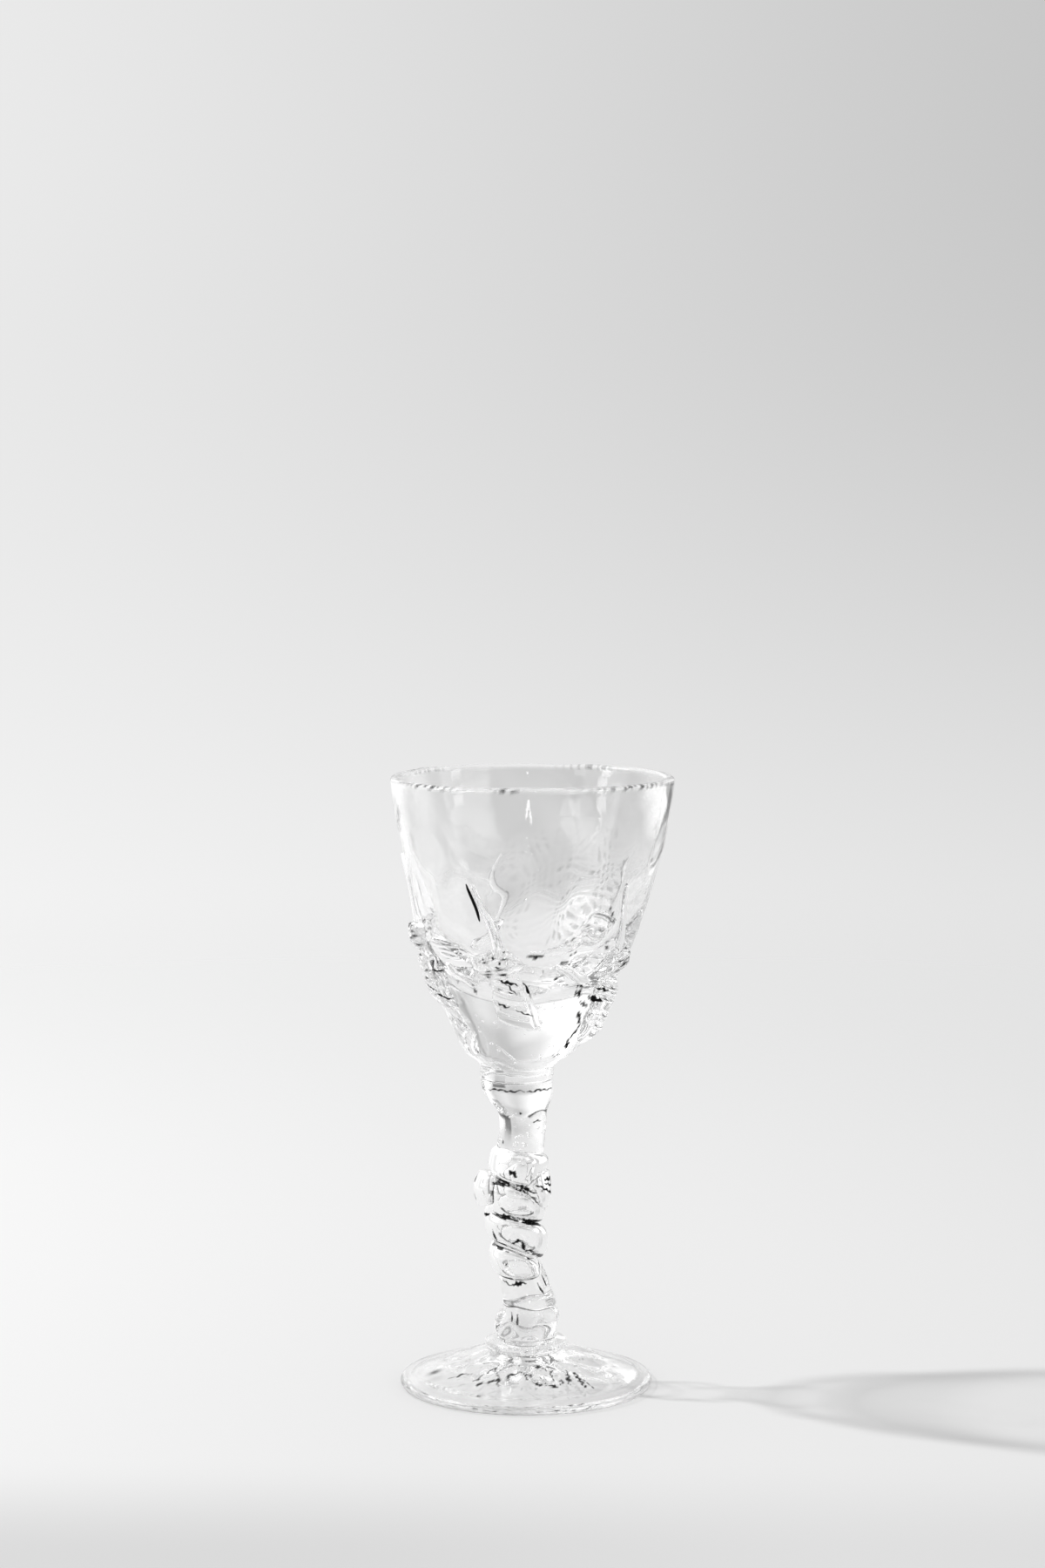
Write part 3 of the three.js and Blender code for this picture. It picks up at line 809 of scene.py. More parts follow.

# Faint lines of painted shade along the foot's edge: height, reach, how dark, and where they are
# darkest
EDGE_LINES = ((0.3, 0.2, 1.0), (1.7, 0.15, 0.5))
EDGE_TURN = 3.67


def painted_foot_wave_shade(angle, radius):
    """Faint short wavy lines of painted shade on the cone round the collar, in uneven groups."""
    ring = ease((radius - 13.5) / 2) * ease((25 + 2 * np.sin(3 * angle) - radius) / 3)
    warp = 0.12 * np.sin(1.1 * radius + 5 * angle) + 0.05 * np.sin(2.7 * radius - 9 * angle)
    lines = np.abs(np.sin(11 * (angle + warp)))
    breaks = np.sin(1.9 * radius + 8 * angle) + np.sin(1.3 * radius - 13 * angle + 1)
    return 0.3 * ring * ease((0.22 - lines) / 0.1) * ease((breaks - 0.6) / 0.3)


def foot_painted_shade(angle, radius, z):
    """The waves, creases and spots of painted shade on the foot's upper side, and the lines of
    painted shade on its edge.
    """
    top = z > foot_top(radius) - UPPER_SIDE
    x, y = radius * np.cos(angle), radius * np.sin(angle)
    spots = sum(
        dark * groove(np.hypot(x - middle_x, y - middle_y), reach)
        for middle_x, middle_y, reach, dark in FOOT_SPOTS
    )
    edge = sum(dark * groove(z - level, reach) for level, reach, dark in EDGE_LINES)
    edge = edge * (0.3 + 0.2 * np.sin(angle + EDGE_TURN)) * (radius > FOOT_RADIUS - 1.3)
    upper = np.maximum(painted_foot_wave_shade(angle, radius), spots) * top
    return np.clip(np.maximum(upper, 0.95 * painted_foot_crease_shade(angle, radius, z)) + edge, 0, 1)


# Groups of beads of painted shade under the rim: direction and reach in degrees
BEAD_GROUPS = ((-136, 13), (-100, 4), (-44, 18), (62, 14), (148, 16))


def painted_rim_bead_shade(angle, radius, z):
    """Small beads of painted shade under the rim, in groups: a bell curve round each group's middle.
    """
    groups = sum(
        groove(np.degrees(turn_from(angle, math.radians(middle))), reach)
        for middle, reach in BEAD_GROUPS
    )
    beads = ease((uneven("beads", angle, z) + 0.05) / 0.4)
    return 0.95 * groups * beads * groove(z - RIM_Z + 0.8, 0.55) * (radius > RIM_RADIUS - 1.7)


def lace_painted_shade(angle, radius, z):
    """Faint grey flecks of painted shade on some of the wrinkles in the cup."""
    where, net = lace_net(angle, z)
    some = ease((uneven("flecks", angle, z) + 0.1) / 0.6)
    inner = radius < bowl_plain(z) - 1
    return 0.34 * where * some * ease((net - 0.3) / 0.3) * inner


def root_shade(angle, radius, z):
    """A patch of painted shade on the front of the stem's root: a bell curve round and up."""
    return 0.15 * groove(turn_from(angle, math.radians(-102)), 0.5) * groove(z - ROOT_Z - 4.3, 3)


def all_dark(angle, radius, z):
    """Painted shade all over."""
    return np.ones(np.broadcast(angle, z).shape)


def darkest(*painted_shades):
    """The darkest of several at each place."""
    def painted_shade(angle, radius, z):
        return np.maximum.reduce([one(angle, radius, z) for one in painted_shades])
    return painted_shade


def outer_only(inner_too):
    """The same on the bowl's outside, and nothing in its cavity."""
    def painted_shade(angle, radius, z):
        return inner_too(angle, radius, z) * (radius > bowl_plain(z) - 1)
    return painted_shade


# Leaves: direction, height of the middle, length, width and lean from upright to the left
LEAVES = {
    "front": (-96.5, 103.8, 16, 11.5, 12),
    "right": (-24, 100.0, 22, 14, 14),
    "back_right": (50, 104.0, 19, 13, 24),
    "back_left": (122, 106.0, 15, 13, 20),
    "left": (-160, 108.5, 17, 13, 12),
}
VEIN_FALL = 12

# A knot lies a little to the left of its leaf's top and above it
KNOT_TURN = 9
KNOT_GAP = 1.5
KNOT_SEEDS = 40

# Stalks: the length of all, and the lean to the left in degrees and thickness of each
STALK_LENGTH = 19
STALKS = {
    "front": (11, 1.4),
    "right": (9, 0.9),
    "back_right": (9, 0.6),
    "back_left": (9, 0.5),
    "left": (9, 1.0),
}

# Tendrils on each side of the front leaf: direction of each end and its height above the
# bowl's start
TENDRILS = {"left": (-122, 25.5, -142, 31.0), "right": (-74, 31.6, -48, 26.6)}

# A strand on the bowl: rows along it and columns across it
STRAND_GRAIN = (70, 22)


def drawn_out(share, power):
    """1 in the middle of a strand and drawn out to nothing at both ends: a superellipse."""
    return np.sqrt(np.clip(1 - np.abs(2 * share - 1) ** power, 0, None))


def stalk(side, seed, angle, z):
    """A thin band that tapers as it climbs from the knot and leans to the left."""
    lean, swell = STALKS[side]
    rise = np.linspace(0, 1, 80)
    wander = np.radians(1.2) * np.sin(5 * rise + seed)
    return Strand(
        f"stalk_{side}", bowl_outside, angle - math.radians(lean) * rise + wander,
        z + KNOT_GAP + STALK_LENGTH * rise, 1.9 * (1 - 0.6 * rise),
        swell * (1 - 0.45 * rise), 2.2, PAD_SINK, *STRAND_GRAIN,
    )


def tendril(side, first, low, last, high):
    """A thin band with drawn-out ends and one slow wave."""
    along = np.linspace(0, 1, 80)
    thin = drawn_out(along, 4) + 0.03
    return Strand(
        f"tendril_{side}", bowl_outside, np.radians(first + (last - first) * along),
        BOWL_Z + low + (high - low) * along + 0.5 * np.sin(7 * along), 1.4 * thin, 1.2 * thin,
        2, PAD_SINK, *STRAND_GRAIN,
    )


def ornament():
    """The leaf, knot and stalk of each place round the bowl, and the two tendrils."""
    pads = []
    for seed, (side, (degrees, middle, long, wide, lean)) in enumerate(LEAVES.items()):
        top = math.radians(degrees - KNOT_TURN)
        high = middle + 0.55 * long + KNOT_GAP
        leaf = Leaf(f"leaf_{side}", seed, math.radians(degrees), middle, lean, long, wide)
        knot = Knot(f"knot_{side}", seed + KNOT_SEEDS, top, high)
        pads += [leaf, knot, stalk(side, seed, top, high)]
    return pads + [tendril(side, *ends) for side, ends in TENDRILS.items()]


# Cord, a strand painted black as shade: direction in degrees and height of its low end, how far it
# leans to the left and how high it climbs, its half width, thickness and how deep it is sunk in
CORD_TURN = -115.6
CORD_Z = BOWL_Z + 43.2
CORD_LEAN = 4.8
CORD_RISE = 10
CORD_HALF = 0.5
CORD_SWELL = 0.35
CORD_SINK = 0.3


def cord():
    """A thin strand on the wall to the left of the front stalk, painted black all over as a line of
    painted shade.
    """
    share = np.linspace(0, 1, 60)
    angles = np.radians(CORD_TURN - CORD_LEAN * share + 0.5 * np.sin(5 * share))
    thin = drawn_out(share, 3) + 0.03
    return Strand("painted_shade_cord", bowl_outside, angles, CORD_Z + CORD_RISE * share,
                  CORD_HALF * thin, CORD_SWELL * thin, 2, CORD_SINK, 60, 10)


# Vine: how many turns, where it starts, how far apart its turns are, where its upper turns
# begin, its half width, and its thickness at the bottom and how much more it has higher up
VINE_TURNS = 3.5
VINE_START = math.radians(-40)
VINE_Z = STEM_Z + 8.25
VINE_PITCH = 9.0
UPPER_TURNS_Z = VINE_Z + 28.5
VINE_HALF = 4.3
VINE_SWELL = 1.6
VINE_MORE = 0.7


def vine():
    """One band down to the right in front, of uneven width, with its ends drawn out."""
    share = np.linspace(0, 1, 700)
    angles = VINE_START - math.tau * VINE_TURNS * share
    heights = VINE_Z + VINE_PITCH * VINE_TURNS * share + 0.5 * np.sin(17 * share + 1)
    ends = drawn_out(share, 12) + 0.02
    half = (VINE_HALF + 0.3 * np.sin(31 * share)) * ends
    swell = VINE_SWELL + VINE_MORE * ease(share / 0.7) + 0.25 * np.sin(23 * share + 2)
    swell = swell * ends
    return Strand("stem_vine", stem_skin, angles, heights, half, swell, 3, VINE_SINK, 690, 44)


# Knuckles: directions, how far each leans, where they start, their length, half width and
# thickness, and how much thinner they are at their ends
KNUCKLES = {"left": -172, "right": -14, "back": 84}
KNUCKLE_LEAN = math.radians(18)
KNUCKLE_Z = STEM_Z + 25.8
KNUCKLE_LENGTH = 9
KNUCKLE_HALF = 4.9
KNUCKLE_SWELL = 4.1
KNUCKLE_LESS = 1.2


def knuckle(side, degrees):
    """A lump that is pressed over the vine's upper turns, thickest in its middle."""
    rise = np.linspace(0, 1, 60)
    swell = KNUCKLE_SWELL - KNUCKLE_LESS * (2 * rise - 1) ** 2
    half = KNUCKLE_HALF * drawn_out(rise, 2.6) + 0.05
    return Strand(
        f"knuckle_{side}", stem_skin, math.radians(degrees) - KNUCKLE_LEAN * (rise - 0.5),
        KNUCKLE_Z + KNUCKLE_LENGTH * rise, half, swell, 2.8, VINE_SINK, 60, 40,
    )


# Grids of the turned pieces
def ring_angles(around):
    """That many even directions, as one row."""
    return np.linspace(0, math.tau, around, endpoint=False)[None, :]


def turned_grid(skin, heights, around):
    """A skin's rings at each height."""
    angle = ring_angles(around)
    z = heights[:, None]
    return np.broadcast_arrays(angle + 0 * z, skin(angle, z), z + 0 * angle)


def settled(angle, z):
    """Heights near the rim let down a little, more in some places round it than in others."""
    drop = RIM_DROP * (1 + uneven("rim", angle, 0 * angle))
    return z - np.clip(drop, 0, 2 * RIM_DROP) * ease((z - RIM_Z + 8) / 8)


def bowl_grid(around):
    """Up the outside, over the round rim and down the cavity. The outside's rows are closest
    at the bottom, and the cavity's at its pole: powers of even shares."""
    angle = ring_angles(around)
    lip = WALL / 2
    low = BOWL_START + BOWL_ROUND
    share_up = np.linspace(0, 1, 128)[1:]
    share_down = np.linspace(1, 0, 121)[:-1]
    up = np.concatenate([
        BOWL_START + round_rows(BOWL_ROUND),
        low + (RIM_Z - lip - low) * share_up**1.15,
    ])[:, None]
    down = (CAVITY_Z + (CAVITY_DEPTH - lip) * share_down**2)[:, None]
    turn = np.linspace(0, math.pi, 13)[1:-1][:, None]
    outer = bowl_outside(angle, RIM_Z - lip + 0 * angle)
    inner = bowl_inside(angle, RIM_Z - lip + 0 * angle)
    rim = (outer + inner) / 2 + (outer - inner) / 2 * np.cos(turn)
    radius = np.concatenate([bowl_outside(angle, up), rim, bowl_inside(angle, down)])
    z = np.concatenate([
        part + 0 * angle for part in (up, RIM_Z - lip + lip * np.sin(turn), down)
    ])
    return angle + 0 * z, radius, settled(angle, z)


def foot_hollow(angle):
    """Radius and height of the hollow: a cone that levels off in the middle, with flutes."""
    under = HOLLOW_RADIUS * np.linspace(0, 1, 80)[1:, None]
    ring = ease(1 - np.abs(under - FLUTE_RADIUS) / FLUTE_REACH)
    flutes = np.cos(FLUTES * angle + 0.5 * np.sin(2 * angle))
    flutes = ring * (flutes + uneven("hollow", angle, 0 * angle))
    plain = soft_least(HOLLOW_RISE, (HOLLOW_RADIUS - under) * HOLLOW_SLOPE, 1.5)
    return under * (1 + 0.05 * flutes), plain + FLUTE_DEPTH * flutes


def foot_cone(angle):
    """Radius and height of the cone, with slow waves and finer ones round the collar."""
    radius = np.linspace(CONE_START, CONE_END, 42)[1:, None]
    inward = ease((FOOT_RADIUS - 2 - radius) / 4)
    slow = uneven("cone_slow", angle, radius) * inward
    quick = uneven("cone_quick", angle, radius) * groove(radius - 18, 5)
    return radius, foot_top(radius) - 0.1 * inward + slow + quick


def foot_grid(around):
    """Out under the fluted hollow and the standing ring, round the edge, up the cone and in
    under the collar."""
    angle = ring_angles(around)
    flat = np.linspace(HOLLOW_RADIUS + 0.3, CONE_START - 0.2, 5)[:, None]
    turn = np.radians(np.linspace(-90, 80, 14))[:, None]
    throat = np.linspace(0, 1, 10)[1:, None]
    parts = [
        foot_hollow(angle),
        (flat, 0 * flat),
        (CONE_START + EDGE_RADIUS * np.cos(turn), EDGE_RADIUS + EDGE_RADIUS * np.sin(turn)),
        foot_cone(angle),
    ]
    for (wide, low), (narrow, high) in zip(THROAT, THROAT[1:]):
        parts.append((wide + (narrow - wide) * throat, low + (high - low) * throat))
    radius, z = (
        np.concatenate([part + 0 * angle for part in column]) for column in zip(*parts)
    )
    return angle + 0 * z, radius, z


# Turning numbers into meshes
def to_points(angle, radius, z):
    """Places points at an angle and a radius round the crooked axis, in metres."""
    x, y = axis_at(z)
    return np.stack([x + radius * np.cos(angle), y + radius * np.sin(angle), z + 0 * x], -1) * MM


def ring_faces(rows, around):
    """Faces of rows of rings between a first and a last point: quads from each ring to the
    next, and triangles from the end rings to the poles. Gives their corners in one line, and
    how many each has."""
    index = 1 + np.arange(rows * around).reshape(rows, around)
    after = np.roll(index, -1, axis=1)
    quads = np.stack([index[:-1], after[:-1], after[1:], index[1:]], -1).reshape(-1, 4)
    bottom = np.stack([np.zeros(around, int), after[0], index[0]], -1)
    top = np.stack([np.full(around, rows * around + 1), index[-1], after[-1]], -1)
    corners = np.concatenate([bottom.ravel(), quads.ravel(), top.ravel()])
    sizes = np.concatenate([np.full(around, 3), np.full(len(quads), 4), np.full(around, 3)])
    return corners, sizes


def smooth_piece(name, points, corners, sizes):
    """An object with a smooth mesh of those points, in metres, and those faces."""
    mesh = bpy.data.meshes.new(name)
    mesh.vertices.add(len(points))
    mesh.vertices.foreach_set("co", points.astype(np.float32).ravel())
    mesh.loops.add(len(corners))
    mesh.loops.foreach_set("vertex_index", corners)
    mesh.polygons.add(len(sizes))
    mesh.polygons.foreach_set("loop_start", np.concatenate([[0], np.cumsum(sizes)[:-1]]))
    mesh.polygons.foreach_set("use_smooth", np.ones(len(sizes), bool))
    mesh.update(calc_edges=True)
    mesh.validate()
    piece = bpy.data.objects.new(name, mesh)
    bpy.context.collection.objects.link(piece)
    return piece


def gather(name, grid, first, last, outside, painted_shade=None):
    """A closed piece of rings between two poles. outside and the painted shade are stored on its
    points.
    """
    rows, around = grid[0].shape
    angle, radius, z = (
        np.concatenate([[a], middle.ravel(), [b]])
        for a, middle, b in zip(first, grid, last)
    )
    piece = smooth_piece(name, to_points(angle, radius, z), *ring_faces(rows, around))
    for label, values in (("outside", outside), ("painted_shade", painted_shade)):
        layer = piece.data.attributes.new(label, "FLOAT", "POINT")
        if values is not None:
            layer.data.foreach_set("value", values(angle, radius, z).astype(np.float32))
    return piece


# Seeds: small bubbles in the glass. Each group has its skin, its number, the mean place as
# direction in degrees, share of the radius and height, how far that varies, the diameter in
# mm, and how many times longer than wide the bubbles are
SEEDS = {
    "stem": (core_skin, 46, (-90, 0.45, NECK_Z - 6.5), (180, 0.4, 8), 0.55, 1.5),
    "base": (bowl_plain_skin, 26, (-120, 0.55, BOWL_Z + 11), (70, 0.3, 8), 0.7, 1.2),
    "base_low": (bowl_plain_skin, 9, (-125, 0.75, BOWL_Z + 7), (30, 0.15, 4), 0.75, 5.0),
    "chain": (bowl_plain_skin, 9, (-68, 0.8, BOWL_Z + 21), (14, 0.06, 0.8), 0.6, 1.0),
    "collar": (collar_skin, 40, (-90, 0.82, FOOT_RISE + 2.2), (95, 0.12, 1.3), 0.8, 1.0),
    "root": (root_skin, 18, (-90, 0.6, ROOT_Z + 4.5), (120, 0.3, 3.5), 0.6, 1.2),
    "vine": (core_skin, 40, (-90, 0.5, STEM_Z + 20), (180, 0.4, 14), 0.45, 2.0),
}
SEED_DRAW = 77
SEED_RINGS, SEED_AROUND = 5, 8

# Bubbles stay within this share of the radius, and long ones lean by this many radians
DEEPEST = 0.93
LONG_STRETCH, LONG_LEAN = 3, 0.9


def ball():
    """Points of a unit ball between its two poles, ring by ring."""
    turn = ring_angles(SEED_AROUND)
    tilt = np.linspace(0, math.pi, SEED_RINGS + 2)[1:-1, None]
    rings = np.stack([
        np.sin(tilt) * np.cos(turn), np.sin(tilt) * np.sin(turn), -np.cos(tilt) + 0 * turn,
    ], -1)
    return np.concatenate([[(0.0, 0.0, -1.0)], rings.reshape(-1, 3), [(0.0, 0.0, 1.0)]])


def bubble(draw, skin, mean, spread, size, stretch):
    """An ellipsoid at a random place inside a skin, of a random size and a small lean."""
    degrees, share, z = np.array(mean) + np.array(spread) * draw.uniform(-1, 1, 3)
    angle = np.array(math.radians(degrees))
    x, y = axis_at(z)
    radius = float(skin(angle, np.array(z))) * min(share, DEEPEST)
    middle = np.array([x + radius * np.cos(angle), y + radius * np.sin(angle), z])
    half = size / 2 * draw.uniform(0.5, 1.3)
    long = half * draw.uniform(1, 2 * stretch - 1)
    lean = draw.normal(LONG_LEAN if stretch > LONG_STRETCH else 0, 0.25)
    shape = ball() * (half, half, long)
    side = shape[:, 0] * math.cos(lean) - shape[:, 2] * math.sin(lean)
    up = shape[:, 0] * math.sin(lean) + shape[:, 2] * math.cos(lean)
    return middle + np.stack([side, shape[:, 1], up], -1)


def seeds():
    """All groups of bubbles in one mesh."""
    draw = np.random.default_rng(SEED_DRAW)
    bubbles = np.array([
        bubble(draw, skin, mean, spread, size, stretch)
        for skin, count, mean, spread, size, stretch in SEEDS.values()
        for _ in range(count)
    ])
    corners, sizes = ring_faces(SEED_RINGS, SEED_AROUND)
    starts = np.arange(len(bubbles))[:, None] * bubbles.shape[1]
    return smooth_piece("seeds", bubbles.reshape(-1, 3) * MM, (corners + starts).ravel(),
                        np.tile(sizes, len(bubbles)))


# Which glass each place lies in
def bowl_depth(angle, radius, z):
    """Above 0 outside the bowl's glass and in its cavity."""
    above = np.where(z > CAVITY_Z, bowl_inside(angle, z) - radius, -10)
    return np.maximum.reduce([radius - bowl_outside(angle, z), above, z - RIM_Z])


def skin_depth(skin):
    """Above 0 outside a turned skin and below 0 in it: the radius less the skin's."""
    def depth(angle, radius, z):
        return radius - skin(angle, z)
    return depth


def outside_all(*depths):
    """The least of the distances to the neighbours' glass."""
    def outside(angle, radius, z):
        return np.minimum.reduce([depth(angle, radius, z) for depth in depths])
    return outside


# Node trees
class Graph:
    """Adds nodes to one node tree. A value given for a socket is set on it, a socket is linked."""

    def __init__(self, tree):
        self.tree = tree
        tree.nodes.clear()

    def add(self, kind, values=None, **settings):
        """A node of a kind, with its own settings and the values of its sockets."""
        node = self.tree.nodes.new(kind)
        for key, value in settings.items():
            setattr(node, key, value)
        for key, value in (values or {}).items():
            if isinstance(value, bpy.types.NodeSocket):
                self.tree.links.new(value, node.inputs[key])
            else:
                node.inputs[key].default_value = value
        return node

    def maths(self, kind, a, b=0.0):
        """One step of arithmetic."""
        return self.add("ShaderNodeMath", {0: a, 1: b}, operation=kind).outputs[0]

    def plus(self, a, b):
        """a + b."""
        return self.maths("ADD", a, b)

    def minus(self, a, b):
        """a - b."""
        return self.maths("SUBTRACT", a, b)

    def times(self, a, b):
        """a times b."""
        return self.maths("MULTIPLY", a, b)

    def towards(self, value, goal, share):
        """value, moved by a share of the way to a goal: value + share (goal - value)."""
        return self.plus(value, self.times(self.minus(goal, value), share))

    def ramp(self, source, low, high, start, end):
        """A smooth change of value from start to end between low and high."""
        values = {"Value": source, "From Min": low, "From Max": high, "To Min": start, "To Max": end}
        return self.add("ShaderNodeMapRange", values, interpolation_type="SMOOTHSTEP").outputs[0]

    def band(self, source, low, high, soft):
        """1 between low and high, and 0 beyond its soft edges."""
        rise = self.ramp(source, low - soft, low, 0.0, 1.0)
        return self.times(rise, self.ramp(source, high, high + soft, 1.0, 0.0))

    def clear(self, colour=(1, 1, 1, 1)):
        """Light goes straight through, dimmed by a colour."""
        return self.add("ShaderNodeBsdfTransparent", {"Color": colour}).outputs[0]

    def mix(self, share, first, second):
        """The first shader, and a share of the second in its place."""
        return self.add("ShaderNodeMixShader", {0: share, 1: first, 2: second}).outputs[0]

    def any_ray(self, *kinds):
        """1 for rays of any of these kinds."""
        rays = self.add("ShaderNodeLightPath").outputs
        found = rays[kinds[0]]
        for kind in kinds[1:]:
            found = self.maths("MAXIMUM", found, rays[kind])
        return found


def new_material(name):
    """A material with an empty node tree."""
    material = bpy.data.materials.new(name)
    material.use_nodes = True
    return material, Graph(material.node_tree)


# Glass
IOR = 1.5
CLEAR_GLASS = 0.985
# Near-black colour of the painted shade lines, flecks and spots on the glass
PAINTED_SHADE_BLACK = (0.012, 0.012, 0.012, 1)

# Height of the fine unevenness of every finish, and the sizes of its noise and of the patches in
# which joints get painted shade, in cells to a metre
WRINKLE = 0.01 * MM
WRINKLE_SCALE = 420
PATCH_SCALE = 170

# Finishes: how much of a lamp's light comes through one skin, how dark the painted shade at the
# joints to the neighbours is, and the noise level above which they have painted shade at all
FINISHES = {
    "fire_polished_glass": (0.93, 0.5, 0.52),
    "pressed_foot_glass": (0.98, 0.9, 0.5),
    "laid_glass": (0.93, 0.55, 0.5),
    "creased_vine_glass": (0.97, 0.97, 0.44),
}


def joint_painted_shade(graph, place, fused, joint_shade, patch):
    """How dark the painted shade beside a joint is: full in patches of noise, and 0 away from it."""
    patches = graph.add("ShaderNodeTexNoise", {"Vector": place, "Scale": PATCH_SCALE, "Detail": 2})
    near = graph.ramp(fused, 0.05, 0.4, 1.0, 0.0)
    return graph.times(near, graph.ramp(patches.outputs["Fac"], patch, patch + 0.06, 0.0, joint_shade))


def lamp_film(graph, clearness):
    """What a skin is to a lamp's light: clear where it faces it, and duller at a slant."""
    facing = graph.add("ShaderNodeLayerWeight", {"Blend": 0.5}).outputs["Facing"]
    return graph.clear(graph.ramp(facing, 0.3, 1.0, clearness, 0.5))


def glass(name):
    """Clear glass with painted shade at its joints and its piece's painted shade, in near black.
    Where it is fused into its neighbour, light goes straight through, and lamps see only a thin film
    of it."""
    clearness, joint_shade, patch = FINISHES[name]
    material, graph = new_material(name)
    place = graph.add("ShaderNodeTexCoord").outputs["Object"]
    noise = graph.add("ShaderNodeTexNoise", {"Vector": place, "Scale": WRINKLE_SCALE, "Detail": 3})
    bump = graph.add("ShaderNodeBump", {
        "Strength": 1.0, "Distance": WRINKLE, "Height": noise.outputs["Fac"],
    })
    fused = graph.add("ShaderNodeAttribute", attribute_name="outside").outputs["Fac"]
    painted_shade = graph.add("ShaderNodeAttribute", attribute_name="painted_shade").outputs["Fac"]
    body = graph.add("ShaderNodeBsdfPrincipled", {
        "Base Color": graph.minus(CLEAR_GLASS, joint_painted_shade(graph, place, fused, joint_shade, patch)),
        "Roughness": 0.0, "IOR": IOR, "Transmission Weight": 1.0, "Normal": bump.outputs[0],
    }).outputs[0]
    # Painted shade: a near-black diffuse, mixed in as far as the point attribute of painted shade
    # says
    shade_black = graph.add("ShaderNodeBsdfDiffuse", {"Color": PAINTED_SHADE_BLACK}).outputs[0]
    shows = graph.maths("GREATER_THAN", fused, 0.0)
    skin = graph.mix(shows, graph.clear(), graph.mix(painted_shade, body, shade_black))
    film = graph.mix(shows, graph.clear(), lamp_film(graph, clearness))
    whole = graph.mix(graph.any_ray("Is Shadow Ray", "Is Diffuse Ray"), skin, film)
    graph.add("ShaderNodeOutputMaterial", {"Surface": whole})
    return material


def bubble_glass():
    """The skin of a bubble, seen from the glass round it, where light speeds up."""
    material, graph = new_material("bubble_skin")
    skin = graph.add("ShaderNodeBsdfGlass", {"Roughness": 0.0, "IOR": 1 / IOR}).outputs[0]
    whole = graph.mix(graph.any_ray("Is Shadow Ray", "Is Diffuse Ray"), skin, graph.clear())
    graph.add("ShaderNodeOutputMaterial", {"Surface": whole})
    return material


# The pieces
FOOT_AROUND = 384
STEM_AROUND = 192
BOWL_AROUND = 320


def finish_piece(piece, material, node=None):
    """Gives a piece its glass and its body, and hides the solid that it stands for, if any."""
    piece.data.materials.append(material)
    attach(piece, "root")
    if node:
        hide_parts(node)


def blow(node, grid, poles, neighbours, material, painted_shade=None):
    """Makes one gather of glass in place of the solid of that name."""
    piece = gather("blown_" + node, grid, *poles, outside_all(*neighbours), painted_shade)
    finish_piece(piece, material, node)


def make_foot(material):
    """The foot, closed at the middle of its hollow and inside the collar."""
    poles = (0, 0, HOLLOW_RISE), (0, 0, THROAT[-1][1])
    blow("foot", foot_grid(FOOT_AROUND), poles, [skin_depth(collar_skin)], material, foot_painted_shade)


def make_stem(material, wound, painted_shade):
    """The collar, root, core and neck: each one's skin, ends, rows and neighbours."""
    foot, collar, root, core, neck = (
        skin_depth(skin) for skin in (foot_skin, collar_skin, root_skin, core_skin, neck_skin)
    )
    band, *lumps = (piece.depth for piece in wound)
    stack = {
        "foot_collar": (collar_skin, COLLAR_ENDS, 12, (foot, root)),
        "stem_root": (root_skin, ROOT_ENDS, 60, (collar, core, band)),
        "stem_core": (core_skin, CORE_ENDS, 260, (root, neck, band, *lumps)),
        "neck": (neck_skin, NECK_ENDS, 60, (core, bowl_depth, band)),
    }
    for node, (skin, ends, rows, neighbours) in stack.items():
        grid = turned_grid(skin, cap_rows(*ends, rows)[:-1], STEM_AROUND)
        poles = (0, 0, ends[0]), (0, 0, ends[1])
        dark = darkest(painted_shade, root_shade) if node == "stem_root" else painted_shade
        blow(node, grid, poles, neighbours, material, dark)


def make_bowl(material, pads, painted_shade):
    """The bowl, closed inside the neck and at the bottom of its cavity."""
    poles = (0, 0, BOWL_START), (0, 0, CAVITY_Z)
    neighbours = [skin_depth(neck_skin), *[pad.depth for pad in pads]]
    dark = darkest(painted_rim_bead_shade, lace_painted_shade, outer_only(painted_shade))
    blow("bowl", bowl_grid(BOWL_AROUND), poles, neighbours, material, dark)


def make_ornament(material, pads, painted_shade):
    """The leaves, knots, stalks and tendrils. Stalks and tendrils are clear."""
    for pad in pads:
        dark = darkest(pad.painted_shade, painted_shade) if isinstance(pad, BowlPad) else None
        if pad.name == "leaf_front":
            dark = painted_crease_shade(LEAF_CREASES, bowl_plain)
        others = [other.depth for other in pads if other is not pad]
        blow(pad.name, pad.grid(), pad.poles(), [bowl_depth, *others], material, dark)


def make_cord(material):
    """The strand of painted shade, which stands for no solid."""
    line = cord()
    thread = gather(line.name, line.grid(), *line.poles(), bowl_depth, all_dark)
    finish_piece(thread, material)


def make_vine(material, wound, painted_shade):
    """The vine's band and the knuckles pressed over it."""
    stock = [skin_depth(skin) for skin in (core_skin, root_skin, neck_skin)]
    for piece in wound:
        others = [other.depth for other in wound if other is not piece]
        blow(piece.name, piece.grid(), piece.poles(), [*stock, *others], material,
             darkest(piece.painted_shade, painted_shade))


